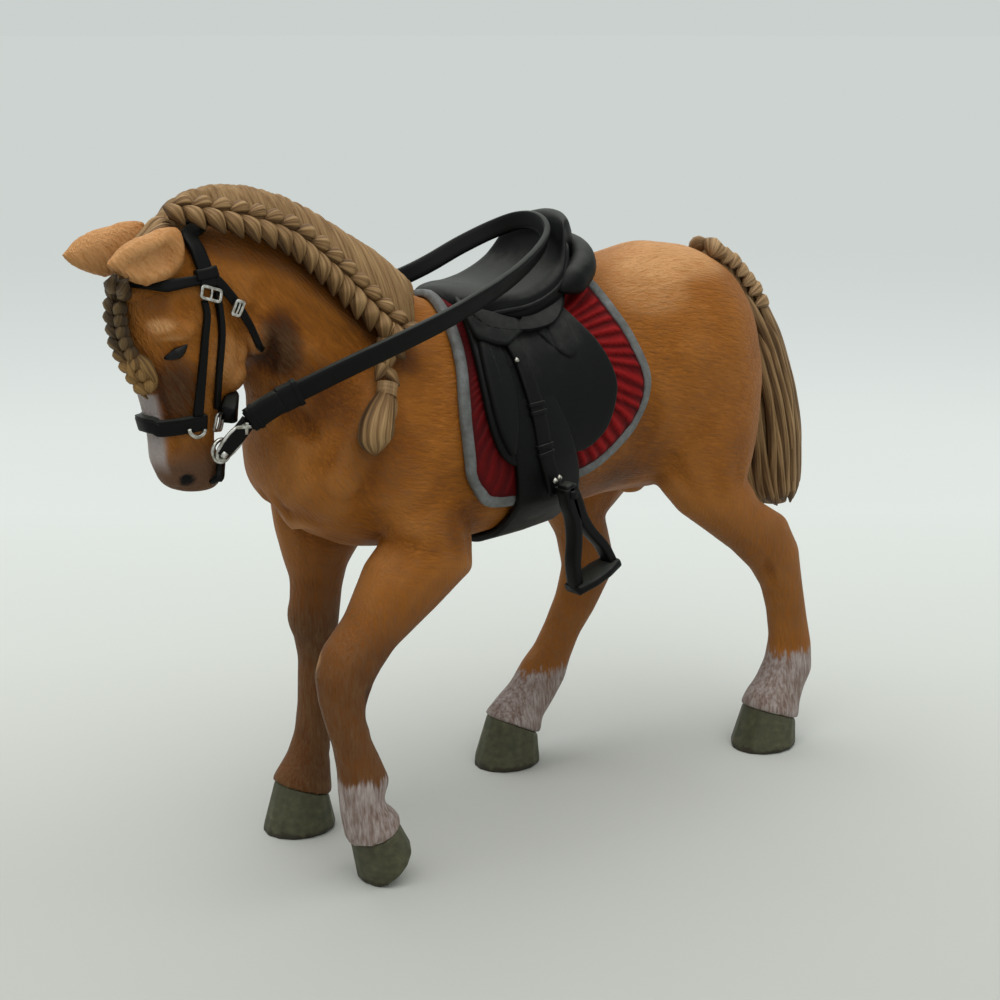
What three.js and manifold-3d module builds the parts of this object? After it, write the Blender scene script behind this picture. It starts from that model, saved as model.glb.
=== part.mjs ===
// A toy horse in riding tack, in millimetres: a moulded figure on four hooves with
// a plaited mane and tail, a bridle with reins, and a saddle with hanging stirrups.
// X runs forward to the nose, Y to the horse's left and Z up from the ground.

import * as THREE from 'three';
import Module from 'manifold-3d';
import { mergeVertices } from 'three/addons/utils/BufferGeometryUtils.js';

const wasm = await Module();
wasm.setup();

// Driving sizes. Places on the figure are shares of these three.
const figureLength = 100; // from the poll back to the point of the buttock
const figureHeight = 100; // from the ground to the top of the crest plait
const barrelWidth = 30; // across the ribs

// Clearances between pieces that touch on the toy.
const seatGap = 0.3; // between a piece and what it lies on
const overrun = 4; // how far a cutting solid runs past what it cuts

// Bridle.
const strapThickness = 0.8;
const crownWidth = 1.9;
const browbandWidth = 1.5;
const nosebandWidth = 1.5;
const cheekWidth = 1.2;
const bitCheekWidth = 0.9;
const throatlashWidth = 1.0;
const chinStrapWidth = 1.2;
const buckleLength = 2.0;
const buckleWire = 0.45;
const bitRingRadius = 1.7;
const bitRingWire = 0.45;

// Reins.
const reinWidth = 2.8;
const reinThickness = 1.0;
const sleeveWidth = 3.6;
const sleeveThickness = 1.7;
const sleeveLength = 8;
const hookWidth = 2.4;
const hookThickness = 0.8;
const hookWire = 0.5;
const hookPinRadius = 0.7;

// Saddle, pad and girth.
const padThickness = 1.1;
const bindingWidth = 1.6;
const bindingRise = 0.3;
const bindingLap = 0.05;
const flapThickness = 1.1;
const kneeBlockRise = 0.9;
const skirtThickness = 0.9;
const girthThickness = 1.0;
const girthWidth = 10;
const tabRise = 0.5;

// Stirrups.
const leatherWidth = 2.6;
const leatherThickness = 1.0;
const keeperWidth = 1.0;
const keeperRise = 0.4;
const ironHeight = 15.4;
const ironSpan = 8.4;
const ironArmThickness = 1.2;
const ironDepth = 2.4;
const treadDepth = 4.8;
const treadThickness = 1.3;
const ironPinRadius = 0.5;
const ironPinHead = 0.4;
const ironNeck = 5;
const ironRest = 0.36; // radians that the iron hangs back from upright
const ironBowShare = 0.62;
const ironWindowShare = 0.5;
const keeperShares = [0.38, 0.62];
const leatherTopShare = [0.106, 0.742];
const leatherFootShare = [0.067, 0.535];

// Where the reins and buckles lie: shares of the length, of the width across where
// there are three, and of the height.
const bitShare = [0.544, 0.168, 0.645];
const reinShares = [
  [0.512, 0.25, 0.686], [0.48, 0.3, 0.708], [0.436, 0.365, 0.73], [0.382, 0.415, 0.752],
  [0.303, 0.44, 0.777], [0.214, 0.43, 0.803], [0.115, 0.385, 0.835], [0.038, 0.3, 0.863],
  [-0.018, 0.185, 0.888], [-0.039, 0.05, 0.905], [-0.039, -0.1, 0.905], [-0.019, -0.227, 0.89],
  [0.023, -0.32, 0.866], [0.074, -0.385, 0.838], [0.13, -0.415, 0.818], [0.214, -0.43, 0.797],
  [0.303, -0.44, 0.773], [0.382, -0.415, 0.752], [0.436, -0.365, 0.73], [0.48, -0.3, 0.708],
  [0.512, -0.25, 0.686],
];
const cheekBuckleShare = [0.549, 0.84];
const cheekBuckleTurn = 0.15;
const throatBuckleShare = [0.508, 0.834];
const throatBuckleTurn = 0.25;

// How finely the round forms are cut.
const trunkSides = 24;
const neckSides = 18;
const headSides = 18;
const limbSides = 12;
const hairSides = 14;
const tailSides = 27;
const capRings = 2;
const pinSides = 10;
const leafSides = 7;
const leafRings = 4;
const padPoints = 30;
const flapPoints = 24;
const kneePoints = 14;
const tabPoints = 14;
const skirtPoints = 16;
const reinSteps = 44;

// Rows of the side view: the upper or front edge (X, Z), the lower or rear edge (X, Z),
// the middle across, the half width across, and how far the upper edge is pinched in.
const trunkShares = [
  [-0.472, 0.735, -0.47, 0.575, 0, 0.19, 0],
  [-0.43, 0.815, -0.43, 0.52, 0, 0.37, 0.06],
  [-0.36, 0.85, -0.36, 0.48, 0, 0.48, 0.1],
  [-0.26, 0.864, -0.26, 0.467, 0, 0.51, 0.12],
  [-0.15, 0.846, -0.15, 0.472, 0, 0.49, 0.12],
  [-0.04, 0.81, -0.04, 0.462, 0, 0.5, 0.14],
  [0.06, 0.79, 0.06, 0.453, 0, 0.505, 0.18],
  [0.15, 0.808, 0.15, 0.45, 0, 0.487, 0.25],
  [0.24, 0.81, 0.24, 0.455, 0, 0.46, 0.25],
  [0.32, 0.785, 0.32, 0.468, 0, 0.43, 0.12],
  [0.385, 0.735, 0.375, 0.495, 0, 0.38, 0.05],
  [0.425, 0.69, 0.41, 0.53, 0, 0.28, 0],
];
const neckShares = [
  [0.14, 0.8, 0.4, 0.5, 0, 0.317, 0.1],
  [0.22, 0.838, 0.44, 0.565, 0, 0.287, 0.22],
  [0.29, 0.872, 0.45, 0.635, 0, 0.247, 0.28],
  [0.36, 0.908, 0.456, 0.695, 0, 0.22, 0.28],
  [0.43, 0.938, 0.466, 0.745, 0, 0.203, 0.22],
  [0.5, 0.95, 0.495, 0.77, 0, 0.193, 0.1],
  [0.56, 0.938, 0.54, 0.79, 0, 0.18, 0],
];
const headShares = [
  [0.6, 0.93, 0.5, 0.85, 0, 0.167, 0],
  [0.634, 0.895, 0.486, 0.805, 0, 0.193, 0.05],
  [0.652, 0.85, 0.476, 0.768, 0, 0.205, 0.1],
  [0.648, 0.8, 0.484, 0.736, 0, 0.198, 0.18],
  [0.638, 0.755, 0.51, 0.71, 0, 0.165, 0.22],
  [0.626, 0.71, 0.524, 0.684, 0, 0.14, 0.2],
  [0.618, 0.67, 0.526, 0.652, 0, 0.128, 0.1],
  [0.616, 0.635, 0.518, 0.622, 0, 0.13, 0.04],
  [0.604, 0.606, 0.516, 0.6, 0, 0.117, 0],
];
const foreLeftShares = [
  [0.35, 0.7, 0.17, 0.69, 0.24, 0.14, 0],
  [0.385, 0.62, 0.165, 0.58, 0.26, 0.215, 0],
  [0.345, 0.545, 0.165, 0.485, 0.32, 0.2, 0],
  [0.311, 0.5, 0.173, 0.432, 0.36, 0.175, 0],
  [0.351, 0.469, 0.245, 0.388, 0.385, 0.155, 0],
  [0.39, 0.403, 0.322, 0.344, 0.4, 0.13, 0],
  [0.429, 0.363, 0.353, 0.31, 0.4, 0.125, 0],
  [0.442, 0.328, 0.366, 0.28, 0.4, 0.12, 0],
  [0.438, 0.287, 0.367, 0.259, 0.4, 0.105, 0],
  [0.429, 0.254, 0.361, 0.222, 0.4, 0.1, 0],
  [0.417, 0.216, 0.346, 0.191, 0.4, 0.1, 0],
  [0.41, 0.177, 0.33, 0.153, 0.4, 0.112, 0],
  [0.408, 0.146, 0.342, 0.123, 0.4, 0.108, 0],
  [0.403, 0.101, 0.316, 0.098, 0.4, 0.13, 0],
  [0.393, 0.062, 0.315, 0.09, 0.4, 0.15, 0],
];
const foreRightShares = [
  [0.35, 0.7, 0.17, 0.69, -0.24, 0.14, 0],
  [0.385, 0.62, 0.165, 0.58, -0.26, 0.215, 0],
  [0.375, 0.53, 0.19, 0.5, -0.3, 0.21, 0],
  [0.36, 0.47, 0.215, 0.45, -0.33, 0.18, 0],
  [0.347, 0.429, 0.245, 0.407, -0.34, 0.15, 0],
  [0.334, 0.391, 0.254, 0.373, -0.345, 0.13, 0],
  [0.336, 0.332, 0.261, 0.319, -0.347, 0.125, 0],
  [0.324, 0.267, 0.27, 0.255, -0.347, 0.097, 0],
  [0.327, 0.197, 0.277, 0.185, -0.347, 0.093, 0],
  [0.333, 0.151, 0.281, 0.136, -0.347, 0.1, 0],
  [0.347, 0.119, 0.282, 0.095, -0.347, 0.115, 0],
  [0.367, 0.094, 0.281, 0.061, -0.347, 0.135, 0],
  [0.375, 0.08, 0.281, 0.046, -0.347, 0.155, 0],
];
const hindRightShares = [
  [-0.2, 0.75, -0.42, 0.77, -0.2, 0.17, 0],
  [-0.14, 0.64, -0.455, 0.66, -0.26, 0.24, 0],
  [-0.12, 0.54, -0.41, 0.53, -0.3, 0.22, 0],
  [-0.13, 0.47, -0.34, 0.45, -0.33, 0.19, 0],
  [-0.156, 0.422, -0.277, 0.396, -0.345, 0.155, 0],
  [-0.191, 0.367, -0.294, 0.349, -0.353, 0.13, 0],
  [-0.203, 0.313, -0.308, 0.302, -0.353, 0.12, 0],
  [-0.191, 0.269, -0.261, 0.231, -0.353, 0.103, 0],
  [-0.166, 0.22, -0.226, 0.192, -0.353, 0.097, 0],
  [-0.145, 0.189, -0.206, 0.154, -0.353, 0.1, 0],
  [-0.116, 0.164, -0.195, 0.121, -0.353, 0.108, 0],
  [-0.094, 0.134, -0.17, 0.091, -0.353, 0.115, 0],
  [-0.065, 0.111, -0.143, 0.064, -0.353, 0.13, 0],
  [-0.041, 0.088, -0.139, 0.04, -0.353, 0.155, 0],
];
const hindLeftShares = [
  [-0.2, 0.75, -0.42, 0.77, 0.2, 0.17, 0],
  [-0.16, 0.64, -0.455, 0.66, 0.26, 0.24, 0],
  [-0.19, 0.54, -0.44, 0.56, 0.29, 0.22, 0],
  [-0.235, 0.475, -0.42, 0.515, 0.31, 0.185, 0],
  [-0.271, 0.435, -0.4, 0.485, 0.33, 0.16, 0],
  [-0.328, 0.395, -0.43, 0.438, 0.345, 0.14, 0],
  [-0.382, 0.356, -0.495, 0.399, 0.355, 0.128, 0],
  [-0.431, 0.313, -0.525, 0.346, 0.36, 0.12, 0],
  [-0.461, 0.275, -0.541, 0.267, 0.36, 0.108, 0],
  [-0.475, 0.234, -0.554, 0.215, 0.36, 0.102, 0],
  [-0.483, 0.186, -0.569, 0.161, 0.36, 0.103, 0],
  [-0.476, 0.148, -0.571, 0.116, 0.36, 0.118, 0],
  [-0.456, 0.115, -0.55, 0.086, 0.36, 0.125, 0],
  [-0.436, 0.097, -0.54, 0.062, 0.36, 0.14, 0],
  [-0.427, 0.076, -0.535, 0.036, 0.36, 0.16, 0],
];

// Each hoof: the sole's toe (X, Z) and heel (X, Z), its middle and half width across.
const hoofShares = {
  hoof_fore_left: [foreLeftShares, 0.37, -0.008, 0.3, 0.05, 0.4, 0.165],
  hoof_fore_right: [foreRightShares, 0.392, 0, 0.277, 0, -0.347, 0.18],
  hoof_hind_left: [hindLeftShares, -0.408, 0, -0.523, 0, 0.363, 0.18],
  hoof_hind_right: [hindRightShares, -0.02, 0, -0.135, 0, -0.353, 0.18],
};
const hoofTopShare = 0.92; // of the leg's end, which the hair overhangs
const hoofBevelShare = 0.1; // of the hoof's height

// Ears, as rows along the ear of the left side.
const earShares = [
  [0.588, 0.945, 0.587, 0.89, 0.15, 0.055, 0],
  [0.61, 0.948, 0.61, 0.877, 0.165, 0.06, 0],
  [0.645, 0.938, 0.643, 0.872, 0.18, 0.055, 0],
  [0.678, 0.924, 0.675, 0.884, 0.19, 0.042, 0],
  [0.697, 0.91, 0.696, 0.9, 0.195, 0.02, 0],
];
const earHollowShares = [
  [0.608, 0.93, 0.608, 0.895, 0.215, 0.05, 0],
  [0.643, 0.924, 0.641, 0.886, 0.23, 0.055, 0],
  [0.674, 0.914, 0.672, 0.894, 0.23, 0.04, 0],
];

// A closed mesh as a solid, turned outward if its volume comes out negative.
function solidOf(positions, triangles) {
  let volume = 0;
  const corner = index => new THREE.Vector3().fromArray(positions, 3 * index);
  for (let t = 0; t < triangles.length; t += 3) {
    const [a, b, c] = [corner(triangles[t]), corner(triangles[t + 1]), corner(triangles[t + 2])];
    volume += a.dot(b.cross(c));
  }
  const facing = volume < 0 ? [...triangles].reverse() : triangles;
  const mesh = new wasm.Mesh({
    numProp: 3,
    vertProperties: new Float32Array(positions),
    triVerts: new Uint32Array(facing),
  });
  return new wasm.Manifold(mesh);
}

function solidFrom(geometry) {
  const plain = geometry.clone();
  plain.deleteAttribute('normal');
  plain.deleteAttribute('uv');
  const merged = mergeVertices(plain, seatGap / 1000);
  return solidOf([...merged.attributes.position.array], [...merged.index.array]);
}

const join = (first, ...others) => others.reduce((sum, next) => sum.add(next), first);
const cut = (first, ...others) => others.reduce((rest, next) => rest.subtract(next), first);

function place(xShare, yShare, zShare) {
  return new THREE.Vector3(xShare * figureLength, yShare * barrelWidth, zShare * figureHeight);
}

// The values between two rows of a table, on a smooth curve through all its rows.
function rowBetween(rows, row, t) {
  const before = rows[Math.max(row - 1, 0)];
  const start = rows[row];
  const end = rows[row + 1];
  const after = rows[Math.min(row + 2, rows.length - 1)];
  return start.map((value, i) => {
    const slope = end[i] - before[i];
    const bend = 2 * before[i] - 5 * value + 4 * end[i] - after[i];
    const twist = 3 * value - before[i] - 3 * end[i] + after[i];
    return (2 * value + slope * t + bend * t * t + twist * t * t * t) / 2;
  });
}

function smoothRows(rows, steps) {
  const smooth = [];
  for (let row = 0; row < rows.length - 1; row += 1) {
    for (let step = 0; step < steps; step += 1) {
      smooth.push(rowBetween(rows, row, step / steps));
    }
  }
  smooth.push(rows[rows.length - 1]);
  return smooth;
}

// One oval section between two edge points of the side view.
function sectionOf(row, sides, grow, flutes) {
  const [topX, topZ, lowX, lowZ, middleY, halfY, pinch] = row;
  const top = place(topX, middleY, topZ);
  const low = place(lowX, middleY, lowZ);
  const middle = top.clone().add(low).divideScalar(2);
  const tall = top.distanceTo(low) / 2;
  const rise = top.clone().sub(low).normalize();
  const points = [];
  for (let side = 0; side < sides; side += 1) {
    const angle = (2 * Math.PI * side) / sides;
    const swell = 1 + flutes.depth * Math.cos(flutes.count * angle);
    const up = (tall * swell + grow) * Math.cos(angle);
    const wide = halfY * barrelWidth * (1 - pinch * Math.cos(angle)) * swell;
    const point = middle.clone().addScaledVector(rise, up);
    point.y += (wide + grow) * Math.sin(angle);
    points.push(point);
  }
  return { middle, points, size: Math.min(tall, halfY * barrelWidth) };
}

// The rings that close one end: a round cap, or a flat one where round is zero.
function capOf(end, inner, round, grow) {
  const out = end.middle.clone().sub(inner.middle).normalize();
  const depth = round * end.size + grow;
  const rings = [];
  const count = round > 0 ? capRings : 1;
  for (let k = 1; k <= count; k += 1) {
    const turn = (k / (count + 1)) * (Math.PI / 2);
    const shrink = round > 0 ? Math.cos(turn) : 1;
    const reach = round > 0 ? Math.sin(turn) : 1;
    rings.push(end.points.map(point => point.clone().sub(end.middle)
      .multiplyScalar(shrink).add(end.middle).addScaledVector(out, depth * reach)));
  }
  const pole = end.middle.clone().addScaledVector(out, depth);
  return { rings: round > 0 || grow > 0 ? rings : [], pole };
}

const plainFlutes = { count: 0, depth: 0 };

// A solid with an oval section that changes along the rows of a table.
function loft(rows, options = {}) {
  const { sides = limbSides, steps = 1, grow = 0, start = 0, end = 0 } = options;
  const flutes = options.flutes ?? plainFlutes;
  const sections = smoothRows(rows, steps).map(row => sectionOf(row, sides, grow, flutes));
  const count = sections.length;
  const head = capOf(sections[0], sections[1], start, grow);
  const tail = capOf(sections[count - 1], sections[count - 2], end, grow);
  const rings = [...head.rings.reverse(), ...sections.map(section => section.points), ...tail.rings];
  const positions = rings.flat().flatMap(point => point.toArray());
  const first = rings.length * sides;
  positions.push(...head.pole.toArray(), ...tail.pole.toArray());
  const triangles = [];
  for (let ring = 0; ring < rings.length - 1; ring += 1) {
    for (let side = 0; side < sides; side += 1) {
      const next = (side + 1) % sides;
      const [a, b] = [ring * sides + side, ring * sides + next];
      const [c, d] = [a + sides, b + sides];
      triangles.push(a, b, d, a, d, c);
    }
  }
  const lastRing = (rings.length - 1) * sides;
  for (let side = 0; side < sides; side += 1) {
    const next = (side + 1) % sides;
    triangles.push(first, next, side);
    triangles.push(first + 1, lastRing + side, lastRing + next);
  }
  return solidOf(positions, triangles);
}

// The bare horse, or the same grown outward by a distance. Shells on it are the
// difference of two such forms.
const headCache = new Map();
const figureCache = new Map();

function headAndNeck(grow) {
  if (!headCache.has(grow)) {
    const neck = loft(neckShares, { sides: neckSides, grow });
    const head = loft(headShares, { sides: headSides, grow, start: 0.6, end: 0.55 });
    headCache.set(grow, join(neck, head));
  }
  return headCache.get(grow);
}

function figure(grow) {
  if (!figureCache.has(grow)) {
    const trunk = loft(trunkShares, { sides: trunkSides, grow, start: 0.6, end: 0.4 });
    const legs = [foreLeftShares, foreRightShares, hindLeftShares, hindRightShares]
      .map(rows => loft(rows, { sides: limbSides, grow, start: 0.5 }));
    figureCache.set(grow, join(trunk, headAndNeck(grow), ...legs));
  }
  return figureCache.get(grow);
}

const mirrorY = rows => rows.map(row => row.map((value, i) => (i === 4 ? -value : value)));

function ears(grow) {
  const pair = [earShares, mirrorY(earShares)]
    .map(rows => loft(rows, { sides: 10, grow, start: 0.3, end: 0.5 }));
  return join(...pair);
}

function hollowEars() {
  const hollows = [earHollowShares, mirrorY(earHollowShares)]
    .map(rows => loft(rows, { sides: 8, start: 0.5, end: 0.5 }));
  return cut(ears(0), ...hollows);
}

// A plate across the horse with the outline of a side view, from one Y to another.
function plateOf(points, fromY, toY) {
  const shape = new THREE.Shape(points);
  const geometry = new THREE.ExtrudeGeometry(shape, { depth: toY - fromY, bevelEnabled: false });
  geometry.rotateX(Math.PI / 2);
  geometry.translate(0, toY, 0);
  return solidFrom(geometry);
}

const flat = shares => shares.map(([x, z]) => new THREE.Vector2(x * figureLength, z * figureHeight));

// A closed smooth outline through the points of a table of X and Z shares.
function outlineOf(shares, count) {
  const through = flat(shares).map(point => new THREE.Vector3(point.x, point.y, 0));
  const curve = new THREE.CatmullRomCurve3(through, true, 'centripetal');
  return curve.getPoints(count).slice(0, count).map(point => new THREE.Vector2(point.x, point.y));
}

// The same outline moved inward, or outward where the distance is negative.
function inset(points, distance) {
  const turn = THREE.ShapeUtils.isClockWise(points) ? -1 : 1;
  const count = points.length;
  return points.map((point, i) => {
    const along = points[(i + 1) % count].clone().sub(points[(i + count - 1) % count]).normalize();
    return new THREE.Vector2(point.x - turn * along.y * distance, point.y + turn * along.x * distance);
  });
}

// A straight band in the side view, of a given width, between two places.
function bandOf(fromShare, toShare, width) {
  const [from, to] = flat([fromShare, toShare]);
  const along = to.clone().sub(from).normalize();
  const side = new THREE.Vector2(-along.y, along.x).multiplyScalar(width / 2);
  return [from.clone().add(side), from.clone().sub(side), to.clone().sub(side), to.clone().add(side)];
}

const acrossAll = barrelWidth + overrun;
const acrossPlate = points => plateOf(points, -acrossAll, acrossAll);
const leftPlate = points => plateOf(points, 0, acrossAll);
const rightPlate = points => plateOf(points, -acrossAll, 0);

// A flat strap along a path, standing on edge, with its width upright.
function ribbon(points, width, thickness, steps) {
  const curve = new THREE.CatmullRomCurve3(points);
  const positions = [];
  const triangles = [];
  const corners = [[1, 1], [1, -1], [-1, -1], [-1, 1]];
  const upright = new THREE.Vector3(0, 0, 1);
  for (let step = 0; step <= steps; step += 1) {
    const middle = curve.getPointAt(step / steps);
    const along = curve.getTangentAt(step / steps);
    const side = along.clone().cross(upright).normalize();
    const up = side.clone().cross(along).normalize();
    for (const [rise, out] of corners) {
      const corner = middle.clone().addScaledVector(up, (rise * width) / 2);
      positions.push(...corner.addScaledVector(side, (out * thickness) / 2).toArray());
    }
  }
  const count = corners.length;
  for (let step = 0; step < steps; step += 1) {
    for (let i = 0; i < count; i += 1) {
      const [a, b] = [step * count + i, step * count + ((i + 1) % count)];
      triangles.push(a, b, b + count, a, b + count, a + count);
    }
  }
  const last = steps * count;
  triangles.push(0, 2, 1, 0, 3, 2, last, last + 1, last + 2, last, last + 2, last + 3);
  return solidOf(positions, triangles);
}

// The same piece on the other side of the horse.
function mirrored(solid) {
  const mesh = solid.getMesh();
  const positions = [...mesh.vertProperties].map((value, i) => (i % 3 === 1 ? -value : value));
  return solidOf(positions, [...mesh.triVerts]);
}

const pinAcross = (middle, radius, length) => {
  const geometry = new THREE.CylinderGeometry(radius, radius, length, pinSides);
  geometry.translate(middle.x, middle.y, middle.z);
  return solidFrom(geometry);
};

const pieces = new THREE.Group();

function add(name, solid, colour, roughness, metalness = 0) {
  const mesh = solid.getMesh();
  const geometry = new THREE.BufferGeometry();
  geometry.setAttribute('position', new THREE.Float32BufferAttribute(mesh.vertProperties, 3));
  geometry.setIndex(new THREE.Uint32BufferAttribute(mesh.triVerts, 1));
  const material = new THREE.MeshStandardMaterial({ color: colour, roughness, metalness });
  const piece = new THREE.Mesh(geometry, material);
  piece.name = name;
  pieces.add(piece);
}

const coatColour = 0x8a4a22;
const hairColour = 0xaa8255;
const tailColour = 0x8a6a48;
const hoofColour = 0x5f5f4b;
const leatherColour = 0x1c1b1b;
const padColour = 0x8c1a20;
const tieColour = 0x6b4a2a;
const metalColour = 0xb8b8bc;

// The figure and its hooves.
const bareFigure = figure(0);
const seatFigure = figure(seatGap);
const seatHead = headAndNeck(seatGap);
const seatEars = ears(seatGap);
add('body_casting', join(bareFigure, hollowEars()), coatColour, 0.55);

const ground = new THREE.BoxGeometry(3 * figureLength, 3 * figureLength, overrun);
ground.translate(0, 0, -overrun / 2);
const underGround = solidFrom(ground);
for (const [name, shares] of Object.entries(hoofShares)) {
  const [leg, toeX, toeZ, heelX, heelZ, middleY, halfY] = shares;
  const end = leg[leg.length - 1];
  const sole = [toeX, toeZ, heelX, heelZ, middleY, halfY, 0];
  const top = end.map((value, i) => {
    const opposite = i < 4 ? end[(i + 2) % 4] : value;
    if (i < 4) return value * hoofTopShare + opposite * (1 - hoofTopShare);
    return i === 5 ? value * hoofTopShare : value;
  });
  const bevel = sole.map((value, i) => value + (top[i] - value) * hoofBevelShare);
  const wall = bevel.map((value, i) => (i === 5 ? sole[5] : value));
  const inner = sole.map((value, i) => (i === 5 ? value * hoofTopShare : value));
  add(name, cut(loft([inner, wall, top], { sides: hairSides }), seatFigure, underGround), hoofColour, 0.6);
}

// Bridle lines in the side view, and the room that a strap needs under the hair.
const crownTopShare = [0.572, 0.99];
const crownFootShare = [0.549, 0.852];
const browBackShare = [0.54, 0.876];
const browFrontShare = [0.74, 0.856];
const strapRoom = (from, to, width) => headAndNeck(seatGap + strapThickness + seatGap)
  .intersect(acrossPlate(bandOf(from, to, width + 2 * seatGap)));
const crownRoom = strapRoom(crownTopShare, crownFootShare, crownWidth);
const browRoom = strapRoom(browBackShare, browFrontShare, browbandWidth);

// Plaited crest, forelock and tail.
const maneShares = [
  [0.56, 0.974, 0.548, 0.915, 0, 0.11, 0],
  [0.535, 0.983, 0.53, 0.9, 0.01, 0.14, 0],
  [0.49, 0.988, 0.497, 0.885, 0.015, 0.155, 0],
  [0.43, 0.975, 0.458, 0.855, 0.02, 0.165, 0],
  [0.367, 0.948, 0.41, 0.82, 0.02, 0.17, 0],
  [0.3, 0.908, 0.35, 0.785, 0.025, 0.195, 0],
  [0.24, 0.865, 0.285, 0.765, 0.03, 0.22, 0],
  [0.195, 0.836, 0.225, 0.782, 0.04, 0.23, 0],
];

// Middle of the crest plait (X, Z, across), the size of its leaves, and how far they
// face up, as a share of a right angle.
const plaitShares = [
  [0.578, 0.963, 0.06, 0.75, 0.6],
  [0.537, 0.957, 0.127, 0.88, 0.5],
  [0.479, 0.943, 0.155, 0.95, 0.42],
  [0.422, 0.922, 0.167, 1, 0.36],
  [0.374, 0.886, 0.18, 1, 0.3],
  [0.334, 0.848, 0.203, 1, 0.26],
  [0.299, 0.807, 0.25, 0.95, 0.24],
  [0.274, 0.7825, 0.325, 0.95, 0.24],
];
const plaitSteps = 2;
const plaitLength = 4.6;
const plaitWidth = 2.7;
const plaitDepth = 3.25;
const plaitSpread = 2.9; // between the middles of the two rows of leaves
const plaitTilt = 0.5; // radians that a leaf turns from the plait's line

// An egg shape, long along one axis and deep along another.
function egg(middle, along, out, long, wide, deep) {
  const geometry = new THREE.SphereGeometry(1, leafSides, leafRings);
  geometry.scale(wide / 2, long / 2, deep / 2);
  const across = along.clone().cross(out).normalize();
  const frame = new THREE.Matrix4().makeBasis(across, along, across.clone().cross(along));
  geometry.applyMatrix4(frame.setPosition(middle));
  return solidFrom(geometry);
}

// The same, turned in the side view.
function leaf(middle, long, tall, deep, tilt) {
  const along = new THREE.Vector3(Math.cos(tilt), 0, Math.sin(tilt));
  return egg(middle, along, new THREE.Vector3(0, 1, 0), long, tall, deep);
}

// The plait's core, and two rows of leaves that lean away from each other along it.
const coreRows = plaitShares.map(([x, z, y, size]) => {
  const [rise, half] = [figureHeight, barrelWidth].map(length => (plaitDepth * size) / 2 / length);
  return [x, z + rise, x, z - rise, y, half, 0];
});
const plaitCore = loft(coreRows, { sides: 8, start: 0.5, end: 0.5 });
const plaitRows = smoothRows(plaitShares, plaitSteps);
const plaitMiddles = plaitRows.map(([x, z, y]) => place(x, y, z));
const plaitLeaves = plaitRows.slice(0, -1).flatMap(([, , , size, up], i) => {
  const line = plaitMiddles[i + 1].clone().sub(plaitMiddles[i]).normalize();
  const facing = (up * Math.PI) / 2;
  const out = new THREE.Vector3(0, Math.cos(facing), Math.sin(facing));
  const down = line.clone().cross(out).normalize();
  const between = plaitMiddles[i].clone().add(plaitMiddles[i + 1]).divideScalar(2);
  return [1, -1].map(side => {
    const middle = (side > 0 ? between : plaitMiddles[i]).clone()
      .addScaledVector(down, (side * plaitSpread * size) / 2);
    const along = line.clone().multiplyScalar(Math.cos(plaitTilt))
      .addScaledVector(down, side * Math.sin(plaitTilt));
    return egg(middle, along, out, plaitLength * size, plaitWidth * size, plaitDepth * size);
  });
});
const tasselShares = [
  [0.285, 0.795, 0.262, 0.77, 0.325, 0.07, 0],
  [0.312, 0.758, 0.285, 0.742, 0.37, 0.04, 0],
  [0.33, 0.728, 0.307, 0.715, 0.395, 0.04, 0],
  [0.35, 0.705, 0.312, 0.69, 0.405, 0.06, 0],
  [0.368, 0.67, 0.322, 0.655, 0.415, 0.07, 0],
  [0.36, 0.637, 0.338, 0.63, 0.415, 0.03, 0],
];
const tieShares = [[0.29, 0.735], [0.35, 0.7]];
const tieWidth = 1.2;
const tieThickness = 0.5;
const manePad = loft(maneShares, { sides: hairSides, start: 0.5, end: 0.5 });
const tassel = grow => loft(tasselShares, { sides: 10, steps: 2, grow, start: 0.4, end: 0.6 });
const maneForm = join(manePad, plaitCore, ...plaitLeaves, tassel(0));
add('mane_braid', cut(maneForm, seatFigure, crownRoom), hairColour, 0.7);

const tieBand = acrossPlate(bandOf(...tieShares, tieWidth));
const tieRing = cut(tassel(seatGap + tieThickness), tassel(seatGap)).intersect(tieBand);
add('mane_tie', cut(tieRing, seatFigure), tieColour, 0.6);

const forelockShares = [
  [0.636, 0.928, 0, 1],
  [0.65, 0.903, 0.01, 1],
  [0.657, 0.876, 0.03, 0.95],
  [0.661, 0.848, 0.04, 0.9],
  [0.66, 0.82, 0.05, 0.85],
  [0.655, 0.793, 0.065, 0.8],
  [0.649, 0.768, 0.075, 0.75],
];
const forelockWidth = 3.6;
const forelockDepth = 3.2;
const forelockLobe = 4.8;
const forelockLobes = forelockShares.map(([x, z, y, size]) => leaf(
  place(x, y, z), forelockDepth * size, forelockLobe * size, forelockWidth * size, 0));
add('forelock_braid', cut(join(...forelockLobes), seatFigure, seatEars, browRoom), hairColour, 0.7);

const tailShares = [
  [-0.4, 0.85, -0.39, 0.8, 0, 0.09, 0],
  [-0.455, 0.825, -0.43, 0.77, 0, 0.11, 0],
  [-0.51, 0.775, -0.452, 0.715, 0, 0.13, 0],
  [-0.562, 0.7, -0.465, 0.645, 0, 0.17, 0],
  [-0.602, 0.61, -0.472, 0.575, 0, 0.2, 0],
  [-0.622, 0.52, -0.48, 0.5, 0.01, 0.21, 0],
  [-0.622, 0.44, -0.5, 0.43, 0.02, 0.19, 0],
  [-0.61, 0.385, -0.54, 0.39, 0.03, 0.13, 0],
];
const tailFlutes = { count: 9, depth: 0.06 };
const dockShares = [
  [-0.415, 0.84, 0.7],
  [-0.445, 0.825, 0.8],
  [-0.475, 0.8, 0.9],
  [-0.503, 0.77, 0.95],
  [-0.53, 0.735, 1],
];
const dockLobe = 6;
const dockHeight = 4.4;
const dockWidth = 7.6;
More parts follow.
